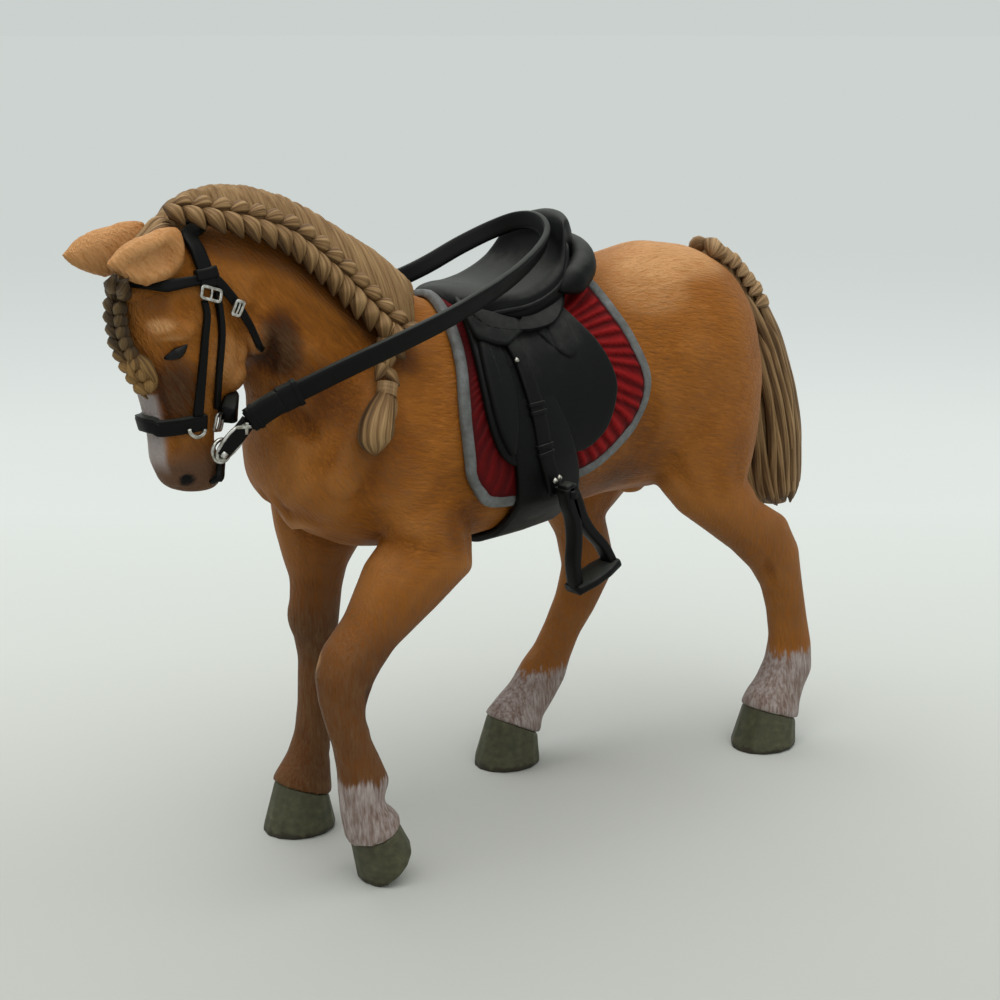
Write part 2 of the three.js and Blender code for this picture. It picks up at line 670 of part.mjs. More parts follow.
const dockTiltShare = -0.24;
const dockLobes = dockShares.map(([x, z, size]) => leaf(
  place(x, 0, z), dockLobe * size, dockHeight * size, dockWidth * size, dockTiltShare * Math.PI));
const tailHair = loft(tailShares, { sides: tailSides, start: 0.6, end: 0.4, flutes: tailFlutes });
add('tail', cut(join(tailHair, ...dockLobes), seatFigure), tailColour, 0.7);

// Bridle straps: shells on the head, cut to bands of the side view.
const headStrap = cut(headAndNeck(seatGap + strapThickness), seatHead, seatEars);
const strapBand = (from, to, width) => headStrap.intersect(acrossPlate(bandOf(from, to, width)));
const leftOf = solid => solid.intersect(leftBlock);
const rightOf = solid => solid.intersect(rightBlock);
const wideBox = new THREE.BoxGeometry(3 * figureLength, acrossAll, 3 * figureHeight);
const leftBlock = solidFrom(wideBox.clone().translate(0, acrossAll / 2 + seatGap, 0));
const rightBlock = solidFrom(wideBox.clone().translate(0, -acrossAll / 2 - seatGap, 0));

const cheekFootShare = [0.572, 0.69];
const bitCheekTopShare = [0.532, 0.853];
const bitCheekFootShare = [0.54, 0.695];
const noseBackShare = [0.48, 0.678];
const noseFrontShare = [0.68, 0.678];
const chinSplitShare = 0.545;
const throatTopShare = [0.517, 0.88];
const throatFootShare = [0.478, 0.7];

const region = (fromX, toX, fromZ, toZ) => acrossPlate([
  new THREE.Vector2(fromX, fromZ),
  new THREE.Vector2(toX, fromZ),
  new THREE.Vector2(toX, toZ),
  new THREE.Vector2(fromX, toZ),
]);
const farX = 2 * figureLength;
const farZ = 2 * figureHeight;
const browX = crownFootShare[0] * figureLength + crownWidth + seatGap;
const chinX = chinSplitShare * figureLength;
const crownFootZ = crownFootShare[1] * figureHeight;
const noseZ = noseBackShare[1] * figureHeight;

const crown = strapBand(crownTopShare, crownFootShare, crownWidth);
add('crownpiece', crown, leatherColour, 0.5);
const browband = strapBand(browBackShare, browFrontShare, browbandWidth);
add('browband', browband.intersect(region(browX, farX, 0, farZ)), leatherColour, 0.5);
const noseband = strapBand(noseBackShare, noseFrontShare, nosebandWidth);
add('noseband', noseband.intersect(region(chinX + seatGap, farX, 0, farZ)), leatherColour, 0.5);
const chinStrap = strapBand(noseBackShare, noseFrontShare, chinStrapWidth);
add('chin_strap', chinStrap.intersect(region(0, chinX, 0, farZ)), leatherColour, 0.5);
const belowCrown = region(0, farX, noseZ + nosebandWidth / 2 + seatGap, crownFootZ - seatGap);
const cheek = strapBand(crownFootShare, cheekFootShare, cheekWidth).intersect(belowCrown);
add('cheekpiece_left', leftOf(cheek), leatherColour, 0.5);
add('cheekpiece_right', rightOf(cheek), leatherColour, 0.5);
const bitCheek = strapBand(bitCheekTopShare, bitCheekFootShare, bitCheekWidth).intersect(belowCrown);
add('bit_cheek_left', leftOf(bitCheek), leatherColour, 0.5);
add('bit_cheek_right', rightOf(bitCheek), leatherColour, 0.5);
const throatlash = strapBand(throatTopShare, throatFootShare, throatlashWidth);
const behindCheeks = region(0, bitCheekTopShare[0] * figureLength - bitCheekWidth - seatGap, 0, crownFootZ);
add('throatlash', throatlash.intersect(behindCheeks), leatherColour, 0.5);

// Saddle pad: a shell over the back and flanks with a raised, bound edge.
const padShares = [
  [0.153, 0.87], [0.177, 0.803], [0.19, 0.745], [0.191, 0.688], [0.174, 0.613],
  [0.155, 0.547], [0.128, 0.522], [0.085, 0.526], [0.03, 0.542], [-0.035, 0.558],
  [-0.088, 0.59], [-0.13, 0.63], [-0.144, 0.675], [-0.128, 0.735], [-0.11, 0.79], [-0.105, 0.88],
  [0.03, 0.93],
];
const padOutline = outlineOf(padShares, padPoints);
const padTop = seatGap + padThickness;
const padInner = inset(padOutline, bindingWidth);
const padBody = cut(figure(padTop), seatFigure).intersect(acrossPlate(padInner));
const padRimPlate = cut(acrossPlate(padOutline), acrossPlate(inset(padOutline, bindingWidth + bindingLap)));
const padRim = cut(figure(padTop + bindingRise), seatFigure).intersect(padRimPlate);
add('saddle_pad', join(padBody, padRim), padColour, 0.8);

// Flaps, one on each side, each with its knee block.
const flapShares = [
  [0.14, 0.795], [0.165, 0.765], [0.173, 0.69], [0.158, 0.638], [0.13, 0.608], [0.079, 0.591],
  [0.007, 0.593], [-0.045, 0.623], [-0.068, 0.673], [-0.058, 0.72], [-0.03, 0.765], [0.0, 0.795],
];
const kneeShares = [
  [0.158, 0.757], [0.138, 0.75], [0.121, 0.71], [0.122, 0.66], [0.132, 0.622], [0.152, 0.65],
  [0.164, 0.71],
];
const tabShares = [
  [0.09, 0.782], [0.068, 0.772], [0.048, 0.75], [0.024, 0.731], [0.01, 0.74], [0.028, 0.765],
  [0.05, 0.783],
];
const skirtShares = [
  [0.14, 0.815], [0.168, 0.8], [0.162, 0.773], [0.118, 0.755], [0.077, 0.778], [0.03, 0.805],
  [0.04, 0.82], [0.09, 0.822],
];
const skirtPlate = acrossPlate(outlineOf(skirtShares, skirtPoints));
const skirtRoom = acrossPlate(inset(outlineOf(skirtShares, skirtPoints), -seatGap));
const flapLow = padTop + bindingRise + seatGap;
const flapTop = flapLow + flapThickness;
const flapOutline = outlineOf(flapShares, flapPoints);
const onFlap = (rise, shares, points) => cut(figure(flapTop + rise), figure(flapLow))
  .intersect(acrossPlate(outlineOf(shares, points)));
const flapShell = onFlap(0, flapShares, flapPoints);
const kneeBlock = onFlap(kneeBlockRise, kneeShares, kneePoints);
const tab = cut(onFlap(tabRise, tabShares, tabPoints), skirtRoom);
const flaps = join(flapShell, kneeBlock, tab);
add('flap_left', leftOf(flaps), leatherColour, 0.75);
add('flap_right', rightOf(flaps), leatherColour, 0.75);

// Seat with its pommel and cantle, the panel behind it, and skirts over the flaps.
const seatShares = [
  [0.148, 0.826, 0.138, 0.765, 0, 0.15, 0],
  [0.12, 0.831, 0.115, 0.762, 0, 0.25, -0.1],
  [0.085, 0.832, 0.085, 0.76, 0, 0.32, -0.2],
  [0.045, 0.838, 0.045, 0.76, 0, 0.35, -0.25],
  [0.0, 0.85, 0.005, 0.765, 0, 0.35, -0.25],
  [-0.03, 0.862, -0.022, 0.775, 0, 0.33, -0.25],
  [-0.053, 0.881, -0.038, 0.785, 0, 0.3, -0.25],
  [-0.062, 0.918, -0.05, 0.79, 0, 0.25, -0.2],
  [-0.078, 0.922, -0.068, 0.8, 0, 0.21, -0.1],
  [-0.094, 0.892, -0.086, 0.81, 0, 0.16, 0],
];
const panelShares = [
  [0.03, 0.818, 0.03, 0.77, 0, 0.35, -0.1],
  [-0.015, 0.845, -0.015, 0.778, 0, 0.36, -0.1],
  [-0.055, 0.872, -0.055, 0.788, 0, 0.34, -0.05],
  [-0.09, 0.882, -0.088, 0.798, 0, 0.27, 0],
  [-0.112, 0.872, -0.11, 0.808, 0, 0.19, 0],
];
const skirtLow = flapTop + seatGap;
const skirts = cut(figure(skirtLow + skirtThickness), figure(skirtLow)).intersect(skirtPlate);
const seatForm = join(
  loft(seatShares, { sides: trunkSides, start: 0.5, end: 0.4 }),
  loft(panelShares, { sides: trunkSides, start: 0.3, end: 0.35 }),
);
const flapRoom = cut(figure(skirtLow), figure(padTop))
  .intersect(acrossPlate(inset(flapOutline, -seatGap)));
const seat = cut(join(cut(seatForm, figure(flapLow)), skirts), flapRoom);
add('saddle_seat', seat, leatherColour, 0.75);

// Girth: below the flaps, over the pad and round the belly.
const girthTopShare = [0.095, 0.66];
const girthFootShare = [0.045, 0.36];
const padSkin = figure(padTop + bindingRise + seatGap).intersect(acrossPlate(inset(padOutline, -seatGap)));
const girthOuter = join(
  figure(seatGap + girthThickness),
  figure(flapLow + girthThickness).intersect(acrossPlate(inset(padOutline, -seatGap - girthThickness))),
);
const girthPlate = acrossPlate(bandOf(girthTopShare, girthFootShare, girthWidth));
const girthClear = acrossPlate(inset(outlineOf(flapShares, flapPoints), -seatGap));
const girth = cut(girthOuter.intersect(girthPlate), seatFigure, padSkin, girthClear);
add('girth', girth, leatherColour, 0.7);

// Bit rings, each lying flat beside the corner of the mouth.
const bitCentre = place(bitShare[0], bitShare[1], bitShare[2]);
const ringForm = new THREE.TorusGeometry(bitRingRadius, bitRingWire, 6, 16);
ringForm.rotateX(Math.PI / 2);
ringForm.translate(bitCentre.x, bitCentre.y, bitCentre.z);
const bitRing = cut(solidFrom(ringForm), headAndNeck(seatGap));
add('bit_ring_left', bitRing, metalColour, 0.35, 0.8);
add('bit_ring_right', mirrored(bitRing), metalColour, 0.35, 0.8);

// Reins: one moulded strap from ring to ring, thicker where each end is sewn back.
const reinPath = reinShares.map(([x, y, z]) => place(x, y, z));
const reinStrap = ribbon(reinPath, reinWidth, reinThickness, reinSteps);
const reinCurve = new THREE.CatmullRomCurve3(reinPath);
const sleeveShare = sleeveLength / reinCurve.getLength();
const sleevePath = from => [0, 1, 2, 3].map(i => reinCurve.getPointAt(from + (sleeveShare * i) / 3));
const sleeves = [sleevePath(0), sleevePath(1 - sleeveShare)]
  .map(points => ribbon(points, sleeveWidth, sleeveThickness, 6));
add('rein_strap', join(reinStrap, ...sleeves), leatherColour, 0.45);

// Rein hooks: an open link from the strap's end to a pin through the bit ring.
const hookFoot = bitCentre.clone();
hookFoot.y += bitRingWire + seatGap + hookThickness / 2;
const reinEnd = reinPath[0];
const hookLine = reinEnd.clone().sub(hookFoot);
const hookSpan = hookLine.length() - 2 * seatGap;
const hookAlong = hookLine.clone().normalize();
const hookSide = hookAlong.clone().cross(new THREE.Vector3(0, 0, 1)).normalize();
const hookUp = hookSide.clone().cross(hookAlong).normalize();
const stadium = (length, width, from) => {
  const radius = width / 2;
  const shape = new THREE.Shape();
  shape.absarc(from, 0, radius, Math.PI / 2, (3 * Math.PI) / 2, false);
  shape.lineTo(from + length, -radius);
  shape.lineTo(from + length, radius);
  shape.closePath();
  return shape;
};
const hookShape = stadium(hookSpan, hookWidth, 0);
const hookSlotStart = hookPinRadius + hookWire + (hookWidth / 2 - hookWire);
hookShape.holes.push(stadium(hookSpan - hookSlotStart - hookWire, hookWidth - 2 * hookWire, hookSlotStart));
const hookPlate = new THREE.ExtrudeGeometry(hookShape, {
  depth: hookThickness, bevelEnabled: false, curveSegments: 8,
});
hookPlate.translate(0, 0, -hookThickness / 2);
const hookFrame = new THREE.Matrix4().makeBasis(hookAlong, hookUp, hookSide.clone().negate());
hookFrame.setPosition(hookFoot);
hookPlate.applyMatrix4(hookFrame);
const hookPinLength = bitRingWire + seatGap + hookThickness;
const hookPinMiddle = hookFoot.clone().setY(hookFoot.y - hookPinLength / 2);
const hookPin = pinAcross(hookPinMiddle, hookPinRadius, hookPinLength);
const hook = cut(join(solidFrom(hookPlate), hookPin), headAndNeck(seatGap));
add('rein_hook_left', hook, metalColour, 0.35, 0.8);
add('rein_hook_right', mirrored(hook), metalColour, 0.35, 0.8);

// Bridle buckles: open frames that lie on the straps at the cheeks and the throat.
function buckleAt(shares, turn) {
  const shape = new THREE.Shape();
  const [half, high] = [buckleLength / 2, buckleLength / 2];
  shape.moveTo(-half, -high);
  shape.lineTo(half, -high);
  shape.lineTo(half, high);
  shape.lineTo(-half, high);
  shape.closePath();
  const [innerX, innerY] = [half - buckleWire, high - buckleWire];
  const hole = new THREE.Path();
  hole.moveTo(-innerX, -innerY);
  hole.lineTo(-innerX, innerY);
  hole.lineTo(innerX, innerY);
  hole.lineTo(innerX, -innerY);
  hole.closePath();
  shape.holes.push(hole);
  const geometry = new THREE.ExtrudeGeometry(shape, { depth: barrelWidth, bevelEnabled: false });
  geometry.rotateZ(turn);
  geometry.rotateX(Math.PI / 2);
  geometry.translate(shares[0] * figureLength, barrelWidth, shares[1] * figureHeight);
  const low = seatGap + strapThickness + seatGap;
  return cut(headAndNeck(low + buckleWire), headAndNeck(low)).intersect(solidFrom(geometry));
}
const cheekBuckle = buckleAt(cheekBuckleShare, cheekBuckleTurn);
const throatBuckle = buckleAt(throatBuckleShare, throatBuckleTurn);
add('cheek_buckle_left', cheekBuckle, metalColour, 0.35, 0.8);
add('cheek_buckle_right', mirrored(cheekBuckle), metalColour, 0.35, 0.8);
add('throat_buckle', throatBuckle, metalColour, 0.35, 0.8);

// Stirrup leathers: straps with two keepers that lie round the flank over the flaps,
// each with a pin for its iron.
const leatherLow = flapTop + seatGap;
const leatherAt = share => leatherTopShare
  .map((value, i) => value + (leatherFootShare[i] - value) * share);
const [leatherTop, leatherFoot] = flat([leatherTopShare, leatherFootShare]);
const leatherLength = leatherTop.distanceTo(leatherFoot);
const onLeather = (from, to, width, rise) => cut(figure(leatherLow + rise), figure(leatherLow))
  .intersect(leftPlate(bandOf(leatherAt(from), leatherAt(to), width)));
const leatherStrap = onLeather(0, 1, leatherWidth, leatherThickness);
const keepers = keeperShares.map(share => onLeather(
  share, share + keeperWidth / leatherLength, leatherWidth + keeperRise, leatherThickness + keeperRise,
));
const ironEye = ironPinRadius + ironArmThickness;
const strapEnd = onLeather(1 - (2 * ironEye) / leatherLength, 1, leatherWidth, leatherThickness);
const strapOuterY = strapEnd.boundingBox().max[1];
const [pivotX, pivotZ] = flat([leatherAt(1 - (2 * ironPinRadius) / leatherLength)])[0].toArray();
const ironMiddleY = strapOuterY + seatGap + ironDepth / 2;
const pinStart = strapOuterY - leatherThickness;
const pinEnd = ironMiddleY + ironDepth / 2 + ironPinHead;
const pinMiddle = new THREE.Vector3(pivotX, (pinStart + pinEnd) / 2, pivotZ);
const leather = join(leatherStrap, ...keepers, pinAcross(pinMiddle, ironPinRadius, pinEnd - pinStart));
add('stirrup_leather_left', leather, leatherColour, 0.6);
add('stirrup_leather_right', mirrored(leather), leatherColour, 0.6);

// Stirrup irons: an arch with a window, an eye for the leather's pin and a wide tread.
const halfSpan = ironSpan / 2;
const ironShape = new THREE.Shape();
ironShape.absarc(0, 0, ironEye, 0, Math.PI, false);
ironShape.lineTo(-ironEye, -ironNeck);
ironShape.quadraticCurveTo(-halfSpan * ironBowShare, -ironHeight * ironBowShare, -halfSpan, -ironHeight);
ironShape.lineTo(halfSpan, -ironHeight);
ironShape.quadraticCurveTo(halfSpan * ironBowShare, -ironHeight * ironBowShare, ironEye, -ironNeck);
ironShape.closePath();
const windowTop = -ironNeck - ironArmThickness;
const windowFoot = -ironHeight + treadThickness;
const windowHalf = halfSpan - ironArmThickness;
const windowBend = windowHalf * ironWindowShare;
const windowBendZ = windowTop + (windowFoot - windowTop) * ironWindowShare;
const ironWindow = new THREE.Path();
ironWindow.moveTo(0, windowTop);
ironWindow.quadraticCurveTo(windowBend, windowBendZ, windowHalf, windowFoot);
ironWindow.lineTo(-windowHalf, windowFoot);
ironWindow.quadraticCurveTo(-windowBend, windowBendZ, 0, windowTop);
const eyeHole = new THREE.Path();
eyeHole.absarc(0, 0, ironPinRadius + seatGap, 0, 2 * Math.PI, true);
ironShape.holes.push(ironWindow, eyeHole);
const arch = new THREE.ExtrudeGeometry(ironShape, {
  depth: ironDepth, bevelEnabled: false, curveSegments: 6,
});
arch.rotateX(Math.PI / 2);
arch.translate(0, ironDepth / 2, 0);
const tread = new THREE.BoxGeometry(ironSpan, treadDepth, treadThickness);
tread.translate(0, 0, -ironHeight + treadThickness / 2);
const ironForm = [arch, tread].map(geometry => {
  geometry.rotateY(ironRest);
  geometry.translate(pivotX, ironMiddleY, pivotZ);
  return solidFrom(geometry);
});
const iron = join(...ironForm);
add('stirrup_iron_left', iron, leatherColour, 0.5);
add('stirrup_iron_right', mirrored(iron), leatherColour, 0.5);

// The origin lies on the ground, under the middle of the figure.
const extent = new THREE.Box3().setFromObject(pieces);
const centre = extent.getCenter(new THREE.Vector3());
pieces.position.set(-centre.x, -centre.y, -extent.min.z);

export default pieces;
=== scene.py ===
"""A toy horse in riding tack: a painted, moulded figure with plaited hair, a bridle
with reins, and a saddle on a bound pad with hanging stirrups.

Places are written in millimetres and turned to metres where a mesh is made."""

import math
import random

import bpy
import numpy as np
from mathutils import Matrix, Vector
from mathutils.bvhtree import BVHTree


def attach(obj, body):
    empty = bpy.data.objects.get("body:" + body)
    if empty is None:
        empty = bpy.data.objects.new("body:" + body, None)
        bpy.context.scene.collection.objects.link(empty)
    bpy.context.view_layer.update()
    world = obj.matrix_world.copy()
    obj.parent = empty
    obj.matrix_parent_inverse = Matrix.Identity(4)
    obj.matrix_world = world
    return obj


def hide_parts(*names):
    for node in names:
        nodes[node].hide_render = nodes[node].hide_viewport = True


MM = 0.001
FIGURE_X = 3.637  # mm that the figure's own origin lies behind the part's
VIEW = (140.8, 14.3)  # degrees round and up, from which the camera looks
TARGET, DISTANCE = (-1.337, 0, 48.6), 290.5  # mm, the point it looks at and how far that is
LENS, SENSOR = 68.4, 36  # mm
PICTURE = 1000  # pixels across and down
RIM = (0.97, 0.985, 1)  # the cool white of the two fills


# Camera and light ---------------------------------------------------------------

def away(azimuth, elevation):
    a, e = math.radians(azimuth), math.radians(elevation)
    return Vector((math.sin(a) * math.cos(e), -math.cos(a) * math.cos(e), math.sin(e)))


def add_camera():
    back = away(*VIEW)
    bpy.ops.object.camera_add(location=Vector(TARGET) * MM + back * DISTANCE * MM)
    camera = bpy.context.object
    camera.rotation_euler = back.to_track_quat("Z", "Y").to_euler()
    camera.data.lens = LENS
    camera.data.sensor_width = SENSOR
    camera.data.clip_start = 0.01
    bpy.context.scene.camera = camera


def add_lamp(name, azimuth, elevation, distance, size, watts, colour):
    out = away(azimuth, elevation)
    bpy.ops.object.light_add(type="AREA", location=out * distance)
    lamp = bpy.context.object
    lamp.name = name
    lamp.rotation_euler = out.to_track_quat("Z", "Y").to_euler()
    lamp.data.size = size
    lamp.data.energy = watts
    lamp.data.color = colour


add_camera()
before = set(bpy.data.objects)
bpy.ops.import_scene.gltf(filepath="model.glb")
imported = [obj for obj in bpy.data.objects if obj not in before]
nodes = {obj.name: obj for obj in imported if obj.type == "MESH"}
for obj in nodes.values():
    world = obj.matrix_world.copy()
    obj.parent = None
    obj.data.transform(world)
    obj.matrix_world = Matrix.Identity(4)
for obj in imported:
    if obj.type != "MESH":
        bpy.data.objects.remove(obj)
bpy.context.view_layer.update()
bpy.context.scene.view_settings.view_transform = "Standard"

add_lamp("top_softbox", 120, 80, 0.75, 1.1, 5.9, (1, 0.99, 0.97))
add_lamp("front_fill", 165, 30, 0.9, 0.7, 0.6, RIM)
add_lamp("back_fill", 330, 40, 0.9, 0.8, 0.9, RIM)


# Shader maths -------------------------------------------------------------------

class Wire:
    """One output of a node tree, with sums and products that add Math nodes."""

    def __init__(self, paint, socket):
        self.paint = paint
        self.socket = socket

    def math(self, operation, *others, clamp=False):
        return self.paint.node("ShaderNodeMath", dict(operation=operation, use_clamp=clamp),
                               dict(enumerate((self, *others))))

    def __add__(self, other):
        return self.math("ADD", other)

    __radd__ = __add__

    def __sub__(self, other):
        return self.math("SUBTRACT", other)

    def __rsub__(self, other):
        return (self * -1) + other

    def __mul__(self, other):
        return self.math("MULTIPLY", other)

    __rmul__ = __mul__

    def __truediv__(self, other):
        return self.math("DIVIDE", other)

    def clamped(self):
        return self.math("ADD", 0.0, clamp=True)

    def power(self, exponent):
        return self.math("POWER", exponent)

    def from_to(self, low, high):
        """0 below low, 1 above high and smooth between them; high may be the lower."""
        if low < high:
            return self.paint.node("ShaderNodeMapRange", dict(interpolation_type="SMOOTHSTEP"),
                                   {"Value": self, "From Min": low, "From Max": high})
        return 1 - self.from_to(high, low)


def rgba(value):
    return value if isinstance(value, Wire) else (*value, 1)


class Paint:
    """A material made of one Principled shader and the nodes that feed it."""

    def __init__(self, name, roughness=0.5, metallic=0.0, specular=0.5):
        self.material = bpy.data.materials.new(name)
        self.material.use_nodes = True
        self.tree = self.material.node_tree
        self.shader = self.tree.nodes["Principled BSDF"]
        self.set("Roughness", roughness)
        self.set("Metallic", metallic)
        self.set("Specular IOR Level", specular)
        place = self.node("ShaderNodeTexCoord", {}, {}, output="Object")
        self.place = self.vector("MULTIPLY", place, [1 / MM] * 3)  # in mm

    def node(self, kind, settings, inputs, output=0):
        made = self.tree.nodes.new(kind)
        for key, value in settings.items():
            if key == "stops":
                ramp = made.color_ramp
                while len(ramp.elements) < len(value):
                    ramp.elements.new(0.5)
                for element, (position, colour) in zip(ramp.elements, value):
                    element.position = position
                    element.color = (*colour, 1)
            else:
                setattr(made, key, value)
        for key, value in inputs.items():
            if isinstance(value, Wire):
                self.tree.links.new(value.socket, made.inputs[key])
            else:
                made.inputs[key].default_value = value
        return Wire(self, made.outputs[output])

    def vector(self, operation, first, second):
        return self.node("ShaderNodeVectorMath", dict(operation=operation), {0: first, 1: second})

    def parts(self, vector):
        made = self.node("ShaderNodeSeparateXYZ", {}, {0: vector})
        return [Wire(self, socket) for socket in made.socket.node.outputs]

    def turned(self, angles, scale):
        """Object coordinates in mm, turned by degrees and stretched."""
        return self.node("ShaderNodeMapping", dict(vector_type="TEXTURE"), {
            "Vector": self.place, "Rotation": [math.radians(a) for a in angles],
            "Scale": [1 / s for s in scale]})

    def noise(self, where, scale=1.0, detail=3.0, rough=0.5):
        return self.node("ShaderNodeTexNoise", {}, {
            "Vector": where, "Scale": scale, "Detail": detail, "Roughness": rough}, output="Fac")

    def stops(self, value, stops):
        return self.node("ShaderNodeValToRGB", dict(stops=stops), {0: value})

    def mix(self, amount, first, second):
        return self.node("ShaderNodeMix", dict(data_type="RGBA"),
                         {0: amount, 6: rgba(first), 7: rgba(second)}, output=2)

    def attribute(self, name):
        return self.node("ShaderNodeAttribute", dict(attribute_name=name), {}, output="Fac")

    def set(self, socket, value):
        if isinstance(value, Wire):
            self.tree.links.new(value.socket, self.shader.inputs[socket])
        else:
            self.shader.inputs[socket].default_value = value

    def bump(self, height, depth, strength=1.0):
        """height in 0 to 1, raised by depth in mm."""
        normal = self.node("ShaderNodeBump", {}, {
            "Height": height * depth, "Distance": MM, "Strength": strength}, output="Normal")
        self.set("Normal", normal)


def shade(red, green, blue):
    """A colour as it is seen, 0 to 255, as the linear values that a shader takes."""
    def linear(value):
        value /= 255
        return value / 12.92 if value <= 0.04045 else ((value + 0.055) / 1.055) ** 2.4
    return (linear(red), linear(green), linear(blue))


# Mesh helpers -------------------------------------------------------------------

def only(piece):
    bpy.ops.object.select_all(action="DESELECT")
    piece.select_set(True)
    bpy.context.view_layer.objects.active = piece


def read(layer, key):
    flat = np.empty(len(layer) * 3, dtype=np.float32)
    layer.foreach_get(key, flat)
    return flat.reshape(-1, 3).astype(float)


def points_of(piece):
    return read(piece.data.vertices, "co") / MM


def set_points(piece, points):
    piece.data.vertices.foreach_set("co", (np.asarray(points, dtype=np.float32) * MM).ravel())
    piece.data.update()


def put(piece, name, values):
    """Keeps one number for each point, for the piece's paint."""
    layer = piece.data.attributes.new(name, "FLOAT", "POINT")
    layer.data.foreach_set("value", np.asarray(values, dtype=np.float32))


def modify(piece, kind, **settings):
    only(piece)
    modifier = piece.modifiers.new(kind.title(), kind)
    for key, value in settings.items():
        setattr(modifier, key, value)
    bpy.ops.object.modifier_apply(modifier=modifier.name)


def edit(piece, *operators):
    only(piece)
    bpy.ops.object.mode_set(mode="EDIT")
    bpy.ops.mesh.select_all(action="SELECT")
    for operator, settings in operators:
        operator(**settings)
    bpy.ops.object.mode_set(mode="OBJECT")


def smooth_shaded(piece):
    only(piece)
    bpy.ops.object.shade_smooth()


def copy_of(node, name):
    """The CAD node's mesh as a new piece with its loose triangles merged."""
    piece = bpy.data.objects.new(name, nodes[node].data.copy())
    bpy.context.collection.objects.link(piece)
    piece.data.materials.clear()
    edit(piece, (bpy.ops.mesh.remove_doubles, dict(threshold=1e-7)))
    return piece


def relax(piece, passes, where=None, pull=0.5, push=-0.505):
    """Evens out facets. With push near -pull, nothing shrinks."""
    points = points_of(piece)
    edges = np.empty(len(piece.data.edges) * 2, dtype=np.int32)
    piece.data.edges.foreach_get("vertices", edges)
    first, second = edges[0::2], edges[1::2]
    count = len(points)
    degree = np.bincount(first, minlength=count) + np.bincount(second, minlength=count)
    share = np.ones(count) if where is None else where
    share = (share / np.maximum(degree, 1))[:, None]

    def lean(at):
        total = np.stack([
            np.bincount(first, at[second, k], count) + np.bincount(second, at[first, k], count)
            for k in range(3)], axis=1)
        return (total - at * degree[:, None]) * share
    for _ in range(passes):
        points += pull * lean(points)
        if push:
            points += push * lean(points)
    set_points(piece, points)


def fade(distance):
    """1 in the middle of a brush and 0 from a distance of 1."""
    near = np.clip(1 - distance ** 2, 0, 1)
    return near * near * (3 - 2 * near)


def unit(vectors):
    return vectors / np.linalg.norm(vectors, axis=-1, keepdims=True)


def turns(count):
    """Even turns of a full circle, in radians."""
    return np.linspace(0, 2 * math.pi, count, endpoint=False)


def finish(piece, body, slot_name, material, *replaced):
    """Gives a finished piece its material and the body that it rides on, and hides the CAD
    nodes that it stands for. slot_name is not used."""
    piece.data.materials.clear()
    piece.data.materials.append(material)
    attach(piece, body)
    if replaced:
        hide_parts(*replaced)


# The figure ---------------------------------------------------------------------

def remeshed(node, name, voxel, passes):
    """A copy of a CAD node as an even mesh of voxel mm, with its facets smoothed out."""
    piece = copy_of(node, name)
    modify(piece, "REMESH", mode="VOXEL", voxel_size=voxel * MM, use_smooth_shade=True)
    relax(piece, passes)
    return piece


body = remeshed("body_casting", "figure", 0.46, 120)
x, _, z = points_of(body).T
trunk = np.clip((z - 50) / 6, 0, 1) * np.clip((38 - x) / 6, 0, 1) * np.clip((86.5 - z) / 2, 0.4, 1)
relax(body, 70, where=trunk, push=0)


def figure_points():
    """The figure's points in its own frame, with its normals."""
    points = points_of(body)
    points[:, 0] += FIGURE_X
    return points, read(body.data.vertex_normals, "vector")


def line_distance(points, path):
    """How far each point lies from a line through places."""
    path = np.asarray(path, dtype=float)
    best = np.full(len(points), 1e9)
    for start, end in zip(path[:-1], path[1:]):
        run = end - start
        share = np.clip(((points - start) @ run) / run.dot(run), 0, 1)
        best = np.minimum(best, np.linalg.norm(points - start - share[:, None] * run, axis=1))
    return best


def dab(points, centre, radii):
    return fade(np.linalg.norm((points - centre) / radii, axis=1))


DABS = [  # place, radii, mm outward; the same on the other side
    ((60.6, 5.6, 78.7), (2.4, 2.4, 1.6), -0.3), ((64.8, 6.6, 91.4), (4.6, 3.2, 3.0), 0.55),
    ((58.4, 5.2, 84.2), (2.0, 2.5, 2.0), -0.35), ((52.4, 6.5, 76.6), (4.6, 4.0, 5.0), 0.3),
    ((48.4, 6.2, 77.2), (3.0, 3.6, 4.8), 1.7), ((50.0, 4.0, 73.4), (3.0, 3.6, 2.6), 1.0),
    ((58.3, 3.2, 60.9), (2.1, 2.0, 1.7), 0.4), ((58.3, 3.7, 60.9), (1.3, 1.8, 1.2), -0.9),
    ((40.0, 8.5, 56.5), (5.0, 6.0, 5.5), 0.5), ((24.0, 13.5, 70.0), (5.0, 6.0, 8.0), -0.4),
    ((-14.0, 12.0, 62.0), (5.0, 8.0, 7.0), -0.5), ((-36.0, 9.5, 73.0), (8.0, 6.0, 8.0), 0.4),
    ((-24.5, 11.5, 70.0), (5.0, 5.0, 5.0), 0.3)]
